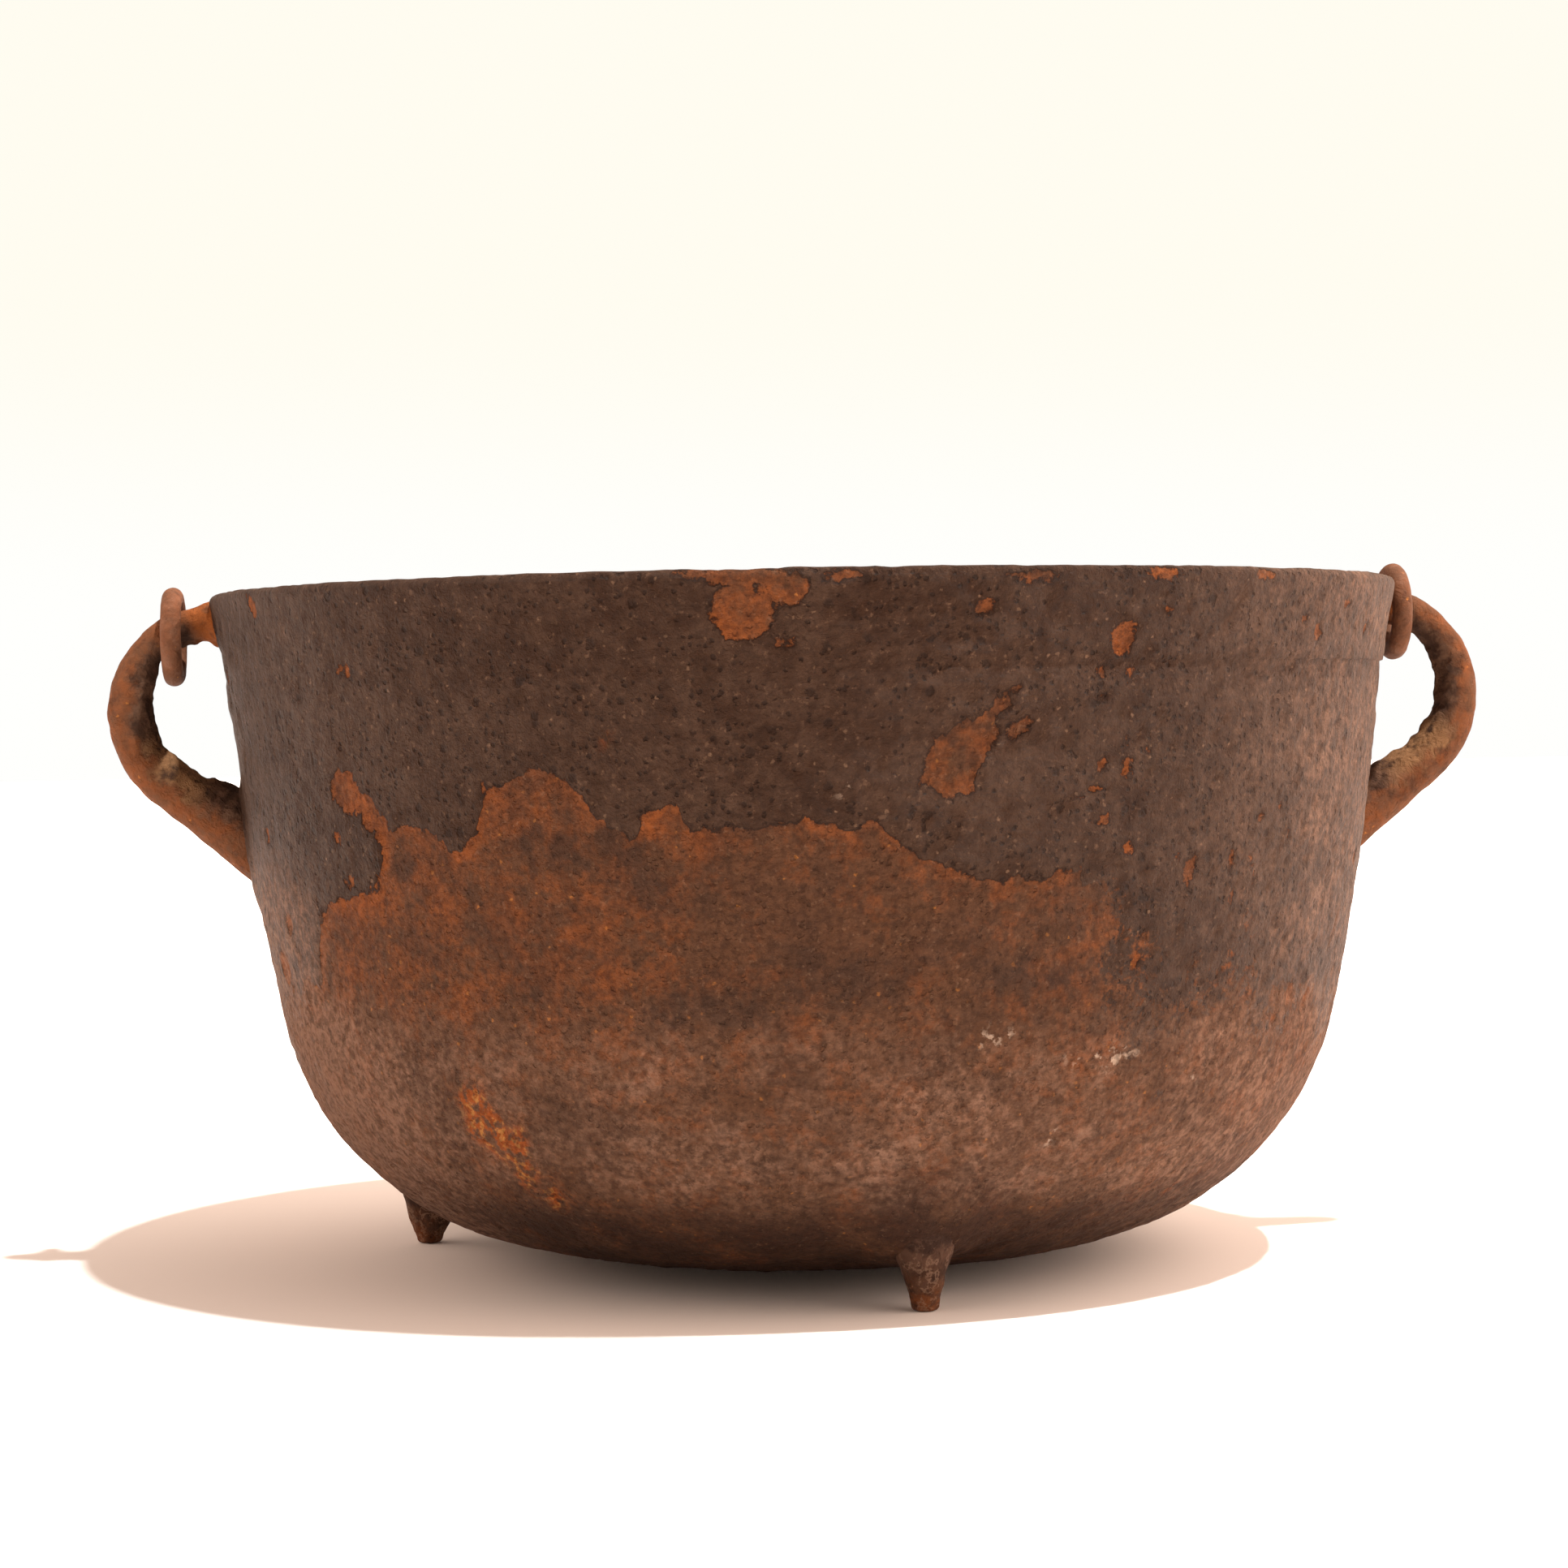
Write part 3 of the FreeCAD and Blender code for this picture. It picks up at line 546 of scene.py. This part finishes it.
def new_group(name, takes, gives):
    """A node group with named sockets. Gives its tree and its two end nodes."""
    tree = bpy.data.node_groups.new(name, "ShaderNodeTree")
    for label, kind, start in takes:
        socket = tree.interface.new_socket(label, in_out="INPUT", socket_type=kind)
        if start is not None:
            socket.default_value = start
    for label, kind in gives:
        tree.interface.new_socket(label, in_out="OUTPUT", socket_type=kind)
    return tree, tree.nodes.new("NodeGroupInput").outputs, tree.nodes.new("NodeGroupOutput").inputs


def use(tree, group, **values):
    """Places a node group with its own values. Gives its outputs."""
    node = tree.nodes.new("ShaderNodeGroup")
    node.node_tree = group
    for name, value in values.items():
        if isinstance(value, bpy.types.NodeSocket):
            tree.links.new(value, node.inputs[name])
        else:
            node.inputs[name].default_value = value
    return node.outputs


FLOAT, COLOUR, VECTOR = "NodeSocketFloat", "NodeSocketColor", "NodeSocketVector"


def mottle_group():
    """Uneven cover: a mask of soft-edged blotches Size mm across."""
    tree, take, give = new_group("mottle", [("Place", VECTOR, None), ("Size", FLOAT, 10.0),
                                            ("Low", FLOAT, 0.4), ("High", FLOAT, 0.6),
                                            ("Layers", FLOAT, 4.0)], [("Cover", FLOAT)])
    scale = maths(tree, "DIVIDE", 1000.0, take["Size"])
    texture = fit(tree, "ShaderNodeTexNoise", {"Vector": take["Place"], "Scale": scale,
                                               "Detail": take["Layers"], "Roughness": 0.6})
    cover = fit(tree, "ShaderNodeMapRange", {"Value": texture.outputs["Fac"], "From Min": take["Low"],
                                             "From Max": take["High"]}, interpolation_type="SMOOTHSTEP")
    tree.links.new(cover.outputs[0], give["Cover"])
    return tree


def speckle_group():
    """Scattered specks about Size mm across, in a Share of their cells."""
    tree, take, give = new_group("speckle", [("Place", VECTOR, None), ("Size", FLOAT, 1.2),
                                             ("Spread", FLOAT, 5.0), ("Share", FLOAT, 0.3)],
                                 [("Speck", FLOAT)])
    wobble = fit(tree, "ShaderNodeTexNoise", {"Vector": take["Place"], "Scale": 900.0, "Detail": 2.0})
    drift = fit(tree, "ShaderNodeVectorMath", {0: wobble.outputs["Color"], "Scale": 0.0016},
                operation="SCALE")
    moved = fit(tree, "ShaderNodeVectorMath", {0: take["Place"], 1: drift.outputs[0]}, operation="ADD")
    cells = fit(tree, "ShaderNodeTexVoronoi", {"Vector": moved.outputs[0],
                                               "Scale": maths(tree, "DIVIDE", 1000.0, take["Spread"])})
    chosen = maths(tree, "LESS_THAN", fit(tree, "ShaderNodeSeparateColor",
                                          {0: cells.outputs["Color"]}).outputs[0], take["Share"])
    width = maths(tree, "DIVIDE", take["Size"], take["Spread"])
    near = fit(tree, "ShaderNodeMapRange", {"Value": cells.outputs["Distance"], "From Min": width,
                                            "From Max": maths(tree, "MULTIPLY", width, 0.4)},
               interpolation_type="SMOOTHSTEP")
    tree.links.new(maths(tree, "MULTIPLY", chosen, near.outputs[0]), give["Speck"])
    return tree


def sand_cast_group(speckle):
    """The relief of a sand casting: pits, grain and low lumps, as a height in mm."""
    tree, take, give = new_group("sand_cast", [("Place", VECTOR, None), ("Pits", FLOAT, 0.5),
                                               ("Grain", FLOAT, 0.3)],
                                 [("Height", FLOAT), ("Pit", FLOAT)])
    lumps = fit(tree, "ShaderNodeTexNoise", {"Vector": take["Place"], "Scale": 210.0, "Detail": 6.0,
                                             "Roughness": 0.68, "Distortion": 0.5})
    grain = fit(tree, "ShaderNodeTexNoise", {"Vector": take["Place"], "Scale": 620.0, "Detail": 4.0,
                                             "Roughness": 0.7, "Distortion": 0.6})
    zone = fit(tree, "ShaderNodeTexNoise", {"Vector": take["Place"], "Scale": 55.0, "Detail": 3.0})
    share = fit(tree, "ShaderNodeMapRange", {"Value": zone.outputs["Fac"], "From Min": 0.38,
                                             "From Max": 0.66, "To Min": 0.08, "To Max": 0.6})
    small = use(tree, speckle, Place=take["Place"], Size=0.95, Spread=2.1, Share=share.outputs[0])
    large = use(tree, speckle, Place=take["Place"], Size=1.8, Spread=5.6, Share=share.outputs[0])
    pit = maths(tree, "MAXIMUM", small["Speck"], large["Speck"])
    height = maths(tree, "MULTIPLY", lumps.outputs["Fac"], 3.4)
    fine = maths(tree, "MULTIPLY", grain.outputs["Fac"], take["Grain"])
    sunk = maths(tree, "MULTIPLY", pit, take["Pits"])
    height = maths(tree, "SUBTRACT", maths(tree, "ADD", height, fine), sunk)
    tree.links.new(height, give["Height"])
    tree.links.new(pit, give["Pit"])
    return tree


def rust_group(mottle, speckle):
    """Rust's colour: brown to orange by how fresh it is, clouded, with bright and dark specks."""
    tree, take, give = new_group("rust", [("Place", VECTOR, None), ("Fresh", FLOAT, 0.5),
                                          ("Old", COLOUR, (0.100, 0.044, 0.022, 1.0)),
                                          ("New", COLOUR, (0.228, 0.065, 0.017, 1.0))],
                                 [("Color", COLOUR)])
    broad = use(tree, mottle, Place=take["Place"], Size=11.0, Low=0.32, High=0.68)["Cover"]
    fine = use(tree, mottle, Place=take["Place"], Size=2.6, Low=0.34, High=0.66)["Cover"]
    uneven = maths(tree, "ADD", maths(tree, "MULTIPLY", broad, 0.55), maths(tree, "MULTIPLY", fine, 0.40))
    amount = maths(tree, "ADD", take["Fresh"], maths(tree, "SUBTRACT", uneven, 0.47), clamp=True)
    colour = tint(tree, amount, take["Old"], take["New"])
    dark = use(tree, mottle, Place=take["Place"], Size=4.5, Low=0.54, High=0.72)["Cover"]
    colour = tint(tree, maths(tree, "MULTIPLY", dark, 0.55), colour, (0.052, 0.022, 0.013, 1.0))
    bright = use(tree, speckle, Place=take["Place"], Size=0.75, Spread=3.4, Share=0.16)["Speck"]
    colour = tint(tree, maths(tree, "MULTIPLY", bright, 0.65), colour, (0.42, 0.155, 0.035, 1.0))
    tree.links.new(colour, give["Color"])
    return tree


def peel_group():
    """The edge of lifted scale: where rust shows, a painted shadow line round it, and its step in mm."""
    tree, take, give = new_group("peel", [("Place", VECTOR, None), ("Bare", FLOAT, 0.0)],
                                 [("Rust", FLOAT), ("Edge", FLOAT), ("Step", FLOAT)])
    ragged = fit(tree, "ShaderNodeTexNoise", {"Vector": take["Place"], "Scale": 430.0, "Detail": 4.0,
                                              "Roughness": 0.66})
    shift = maths(tree, "MULTIPLY", maths(tree, "SUBTRACT", ragged.outputs["Fac"], 0.5), 5.2)
    depth = maths(tree, "ADD", take["Bare"], shift)
    away = maths(tree, "ABSOLUTE", maths(tree, "ADD", depth, 0.15))
    tree.links.new(ramp(tree, depth, -0.30, 0.30), give["Rust"])
    tree.links.new(ramp(tree, away, 0.75, 0.05), give["Edge"])
    tree.links.new(ramp(tree, depth, 0.5, -0.4), give["Step"])
    return tree


def iron(name, roughness):
    """A material with its shader, roughness and object coordinates ready."""
    material = bpy.data.materials.new(name)
    material.use_nodes = True
    tree = material.node_tree
    shader = tree.nodes["Principled BSDF"]
    shader.inputs["Roughness"].default_value = roughness
    shader.inputs["Specular IOR Level"].default_value = 0.11
    return material, tree, shader, fit(tree, "ShaderNodeTexCoord").outputs["Object"]


def bumped(tree, shader, height, strength):
    """Feeds a height in mm to the shader's normal."""
    bump = fit(tree, "ShaderNodeBump", {"Height": height, "Strength": strength, "Distance": MM})
    tree.links.new(bump.outputs[0], shader.inputs["Normal"])


# ---------------------------------------------------------------- finishes


def bowl_finish(mottle, speckle, cast, rust, peel):
    """Black-brown scale over rust, dusty round the belly with painted side light at the sides, darker
    underneath, and painted shade and highlights at pits and scale edges.
    """
    material, tree, shader, place = iron("weathered_pot_iron", 0.7)
    relief = use(tree, cast, Place=place, Pits=1.1, Grain=1.7)
    lifted = use(tree, peel, Place=place, Bare=state(tree, "bare"))
    broad = use(tree, mottle, Place=place, Size=55.0, Low=0.40, High=0.62)["Cover"]
    patchy = use(tree, mottle, Place=place, Size=7.0, Low=0.35, High=0.68)["Cover"]
    scale = tint(tree, broad, (0.036, 0.015, 0.007, 1.0), (0.052, 0.025, 0.014, 1.0))
    scale = tint(tree, maths(tree, "MULTIPLY", patchy, 0.5), scale, (0.088, 0.048, 0.030, 1.0))
    # Painted highlight specks on the scale, and painted shade in its pits.
    pale = use(tree, speckle, Place=place, Size=0.7, Spread=3.0, Share=0.12)["Speck"]
    scale = tint(tree, maths(tree, "MULTIPLY", pale, 0.5), scale, (0.26, 0.15, 0.09, 1.0))
    scale = tint(tree, maths(tree, "MULTIPLY", relief["Pit"], 0.7), scale, (0.016, 0.007, 0.004, 1.0))
    rusted = use(tree, rust, Place=place, Fresh=state(tree, "fresh"))["Color"]
    film = use(tree, mottle, Place=place, Size=26.0, Low=0.46, High=0.64, Layers=8.0)["Cover"]
    film = maths(tree, "MAXIMUM", maths(tree, "MULTIPLY", film, 0.58),
                 maths(tree, "MULTIPLY", state(tree, "film"), maths(tree, "ADD", 0.35, patchy)), clamp=True)
    rusted = tint(tree, maths(tree, "MULTIPLY", film, 0.85), rusted, (0.056, 0.028, 0.017, 1.0))
    colour = tint(tree, lifted["Rust"], scale, rusted)
    crisp = state(tree, "crisp")
    # Painted shadow line along the edge of lifted scale.
    edge = maths(tree, "MULTIPLY", lifted["Edge"], maths(tree, "MULTIPLY", crisp, 0.72))
    colour = tint(tree, edge, colour, (0.020, 0.009, 0.005, 1.0))
    # Darker towards the bottom and round the legs' roots.
    darkened_low_cover = maths(tree, "MULTIPLY", state(tree, "darkened_low"),
                  use(tree, mottle, Place=place, Size=16.0, Low=0.22, High=0.6)["Cover"], clamp=True)
    colour = tint(tree, maths(tree, "MULTIPLY", darkened_low_cover, 0.86), colour, (0.040, 0.018, 0.011, 1.0))
    # Dust, brightened at the sides by painted side light.
    blotch = use(tree, mottle, Place=place, Size=3.6, Low=0.38, High=0.64, Layers=6.0)["Cover"]
    specks = use(tree, speckle, Place=place, Size=1.0, Spread=2.4, Share=0.35)["Speck"]
    cover = maths(tree, "ADD", 0.25, maths(tree, "ADD", blotch, maths(tree, "MULTIPLY", specks, 0.5)))
    dusty_and_lit = maths(tree, "MULTIPLY", state(tree, "dust_and_side_light"), cover, clamp=True)
    colour = tint(tree, maths(tree, "MULTIPLY", dusty_and_lit, 0.62), colour, (0.300, 0.165, 0.108, 1.0))
    streak = use(tree, mottle, Place=place, Size=3.6, Low=0.42, High=0.54, Layers=6.0)["Cover"]
    stained = maths(tree, "MULTIPLY", state(tree, "stain"), streak)
    yellow = use(tree, mottle, Place=place, Size=2.6, Low=0.50, High=0.60, Layers=6.0)["Cover"]
    stain = tint(tree, yellow, (0.30, 0.068, 0.012, 1.0), (0.44, 0.185, 0.045, 1.0))
    colour = tint(tree, maths(tree, "MULTIPLY", stained, 0.9), colour, stain)
    scrawl = use(tree, mottle, Place=place, Size=3.4, Low=0.55, High=0.62)["Cover"]
    chalky = maths(tree, "MULTIPLY", state(tree, "chalk"), scrawl)
    colour = tint(tree, chalky, colour, (0.42, 0.30, 0.22, 1.0))
    # Painted shade in small dark flecks and painted glints in small bright ones, for the pitted relief.
    fleck_shade = use(tree, mottle, Place=place, Size=2.2, Low=0.60, High=0.34, Layers=6.0)["Cover"]
    colour = tint(tree, maths(tree, "MULTIPLY", fleck_shade, 0.46), colour, (0.022, 0.010, 0.006, 1.0))
    glint = use(tree, mottle, Place=place, Size=2.0, Low=0.58, High=0.72, Layers=6.0)["Cover"]
    colour = tint(tree, maths(tree, "MULTIPLY", glint, 0.20), colour, (0.36, 0.20, 0.12, 1.0))
    tree.links.new(colour, shader.inputs["Base Color"])
    rough = maths(tree, "ADD", 0.56, maths(tree, "MULTIPLY", lifted["Rust"], 0.26))
    rough = maths(tree, "ADD", rough, maths(tree, "MULTIPLY", dusty_and_lit, 0.12), clamp=True)
    tree.links.new(rough, shader.inputs["Roughness"])
    step = maths(tree, "MULTIPLY", lifted["Step"], maths(tree, "MULTIPLY", crisp, 0.8))
    bumped(tree, shader, maths(tree, "ADD", relief["Height"], step), 1.0)
    return material


def ear_finish(mottle, cast, rust):
    """Orange rust on the outer faces, dark crust in the loop, tan soil caught on the lower arm."""
    material, tree, shader, place = iron("rusty_ear_iron", 0.82)
    relief = use(tree, cast, Place=place, Pits=0.5, Grain=0.4)
    rusted = use(tree, rust, Place=place, Fresh=0.36, Old=(0.122, 0.052, 0.025, 1.0),
                 New=(0.205, 0.062, 0.019, 1.0))["Color"]
    crust = tint(tree, use(tree, mottle, Place=place, Size=5.0)["Cover"], (0.046, 0.022, 0.013, 1.0),
                 (0.105, 0.054, 0.032, 1.0))
    ragged = use(tree, mottle, Place=place, Size=7.0, Low=0.2, High=0.8)["Cover"]
    wander = maths(tree, "SUBTRACT", ragged, 0.5)
    inner = ramp(tree, maths(tree, "ADD", state(tree, "side"), wander), 0.25, -0.45)
    kept = use(tree, mottle, Place=place, Size=17.0, Low=0.53, High=0.66)["Cover"]
    colour = tint(tree, maths(tree, "MAXIMUM", inner, maths(tree, "MULTIPLY", kept, 0.6)), rusted, crust)
    run = state(tree, "run")
    arm = maths(tree, "MULTIPLY", ramp(tree, run, 0.50, 0.62), ramp(tree, run, 0.86, 0.74))
    soil = maths(tree, "MULTIPLY", maths(tree, "MULTIPLY", arm, inner),
                 use(tree, mottle, Place=place, Size=5.0, Low=0.30, High=0.52)["Cover"])
    colour = tint(tree, maths(tree, "MULTIPLY", soil, 0.7), colour, (0.27, 0.135, 0.058, 1.0))
    stub = maths(tree, "MULTIPLY", ramp(tree, run, 0.13, 0.07),
                 use(tree, mottle, Place=place, Size=6.0, Low=0.3, High=0.5)["Cover"])
    colour = tint(tree, maths(tree, "MULTIPLY", stub, 0.7), colour, (0.34, 0.092, 0.018, 1.0))
    tree.links.new(colour, shader.inputs["Base Color"])
    bumped(tree, shader, relief["Height"], 0.9)
    return material


def leg_finish(mottle, cast, rust):
    """Dark soot with pale crackle, worn to rust at the tip."""
    material, tree, shader, place = iron("sooty_leg_iron", 0.74)
    relief = use(tree, cast, Place=place, Pits=0.6, Grain=0.4)
    rusted = use(tree, rust, Place=place, Fresh=0.25)["Color"]
    dark = tint(tree, use(tree, mottle, Place=place, Size=7.0, Layers=6.0)["Cover"],
                (0.030, 0.014, 0.009, 1.0), (0.080, 0.040, 0.025, 1.0))
    worn = use(tree, mottle, Place=place, Size=5.0, Low=0.35, High=0.6)["Cover"]
    tip = ramp(tree, state(tree, "run"), 0.62, 0.12)
    colour = tint(tree, maths(tree, "MULTIPLY", tip, worn), dark, rusted)
    cracks = use(tree, mottle, Place=place, Size=3.4, Low=0.51, High=0.57, Layers=6.0)["Cover"]
    between_cracks = use(tree, mottle, Place=place, Size=3.4, Low=0.58, High=0.62, Layers=6.0)["Cover"]
    pale = maths(tree, "SUBTRACT", cracks, between_cracks, clamp=True)
    low = maths(tree, "MULTIPLY", ramp(tree, state(tree, "run"), 0.85, 0.45), 0.42)
    colour = tint(tree, maths(tree, "MULTIPLY", pale, low), colour, (0.30, 0.18, 0.12, 1.0))
    tree.links.new(colour, shader.inputs["Base Color"])
    bumped(tree, shader, relief["Height"], 0.8)
    return material


def ring_finish(mottle, cast, rust):
    """Smooth even brown rust, rubbed paler in patches."""
    material, tree, shader, place = iron("rusty_ring_iron", 0.72)
    relief = use(tree, cast, Place=place, Pits=0.22, Grain=0.22)
    colour = use(tree, rust, Place=place, Fresh=0.22, Old=(0.112, 0.048, 0.025, 1.0),
                 New=(0.176, 0.062, 0.026, 1.0))["Color"]
    pale = use(tree, mottle, Place=place, Size=7.0, Low=0.5, High=0.7)["Cover"]
    colour = tint(tree, maths(tree, "MULTIPLY", pale, 0.3), colour, (0.25, 0.13, 0.085, 1.0))
    tree.links.new(colour, shader.inputs["Base Color"])
    bumped(tree, shader, relief["Height"], 0.5)
    return material


# ---------------------------------------------------------------- studio


def make_floor():
    """A pale floor that runs far past the pot."""
    bm = bmesh.new()
    bmesh.ops.create_circle(bm, cap_ends=True, radius=9.0, segments=96)
    mesh = bpy.data.meshes.new("floor")
    bm.to_mesh(mesh)
    bm.free()
    floor = bpy.data.objects.new("floor", mesh)
    bpy.context.scene.collection.objects.link(floor)
    material, _, shader, _ = iron("pale_floor", 0.9)
    shader.inputs["Base Color"].default_value = (0.90, 0.90, 0.90, 1.0)
    shader.inputs["Specular IOR Level"].default_value = 0.1
    mesh.materials.append(material)


def light_studio():
    """A high key lamp from the right and a pale room, brighter behind the pot and at its sides."""
    lamp = bpy.data.lights.new("key", "SUN")
    lamp.energy = 6.2
    lamp.angle = math.radians(2.4)
    lamp.color = (1.0, 0.965, 0.92)
    key = bpy.data.objects.new("key", lamp)
    key.rotation_mode = "QUATERNION"
    key.rotation_quaternion = Vector((0.233, -0.148, 1.0)).to_track_quat("Z", "Y")
    bpy.context.scene.collection.objects.link(key)
    room = bpy.data.worlds.new("pale_room")
    room.use_nodes = True
    bpy.context.scene.world = room
    tree = room.node_tree
    tree.nodes.clear()
    facing = fit(tree, "ShaderNodeSeparateXYZ", {0: fit(tree, "ShaderNodeTexCoord").outputs["Generated"]})
    behind = ramp(tree, facing.outputs["Y"], -0.35, 0.75)
    right = ramp(tree, facing.outputs["X"], 0.10, 0.85)
    left = ramp(tree, facing.outputs["X"], -0.35, -0.95)
    sides = maths(tree, "ADD", maths(tree, "MULTIPLY", right, 3.7), maths(tree, "MULTIPLY", left, 2.0))
    glow = maths(tree, "ADD", maths(tree, "ADD", 0.10, maths(tree, "MULTIPLY", behind, 1.1)), sides)
    lit = fit(tree, "ShaderNodeBackground", {"Color": (1.0, 0.73, 0.58, 1.0), "Strength": glow})
    height = ramp(tree, facing.outputs["Z"], 0.02, 0.12)
    seen_colour = tint(tree, height, (1.0, 1.0, 0.98, 1.0), (1.0, 0.973, 0.875, 1.0))
    seen = fit(tree, "ShaderNodeBackground", {"Color": seen_colour, "Strength": 1.0})
    pick = fit(tree, "ShaderNodeMixShader", {0: fit(tree, "ShaderNodeLightPath").outputs["Is Camera Ray"],
                                             1: lit.outputs[0], 2: seen.outputs[0]})
    fit(tree, "ShaderNodeOutputWorld", {0: pick.outputs[0]})
    bpy.context.scene.view_settings.view_transform = "Standard"


def place_camera():
    """A long lens near the floor, looking at the pot's front from a little to its left."""
    lens = bpy.data.cameras.new("camera")
    lens.lens = 80.62
    lens.sensor_width = 36.0
    camera = bpy.data.objects.new("camera", lens)
    camera.location = (-0.11524, -1.19686, 0.1863)
    looking = Vector((0.08979, 0.99570, -0.02281)).to_track_quat("-Z", "Y")
    tilt = Matrix.Rotation(math.radians(-0.918), 3, "Z").to_quaternion()
    camera.rotation_mode = "QUATERNION"
    camera.rotation_quaternion = looking @ tilt
    bpy.context.scene.collection.objects.link(camera)
    bpy.context.scene.camera = camera


# ---------------------------------------------------------------- the cauldron

place_camera()
light_studio()
make_floor()
noise.seed_set(SHAPES_SEED)

mottle = mottle_group()
speckle = speckle_group()
cast = sand_cast_group(speckle)
rust = rust_group(mottle, speckle)
peel = peel_group()

pot_iron = bowl_finish(mottle, speckle, cast, rust, peel)
make_bowl(pot_iron)
make_gate_scar(pot_iron)
ear_iron = ear_finish(mottle, cast, rust)
make_ear("right_ear", 1, ear_iron)
make_ear("left_ear", -1, ear_iron)
leg_iron = leg_finish(mottle, cast, rust)
for leg_name in LEG_TURNS:
    make_leg(leg_name, leg_iron)
ring_iron = ring_finish(mottle, cast, rust)
for ring_name in RINGS:
    make_ring(ring_name, ring_iron)
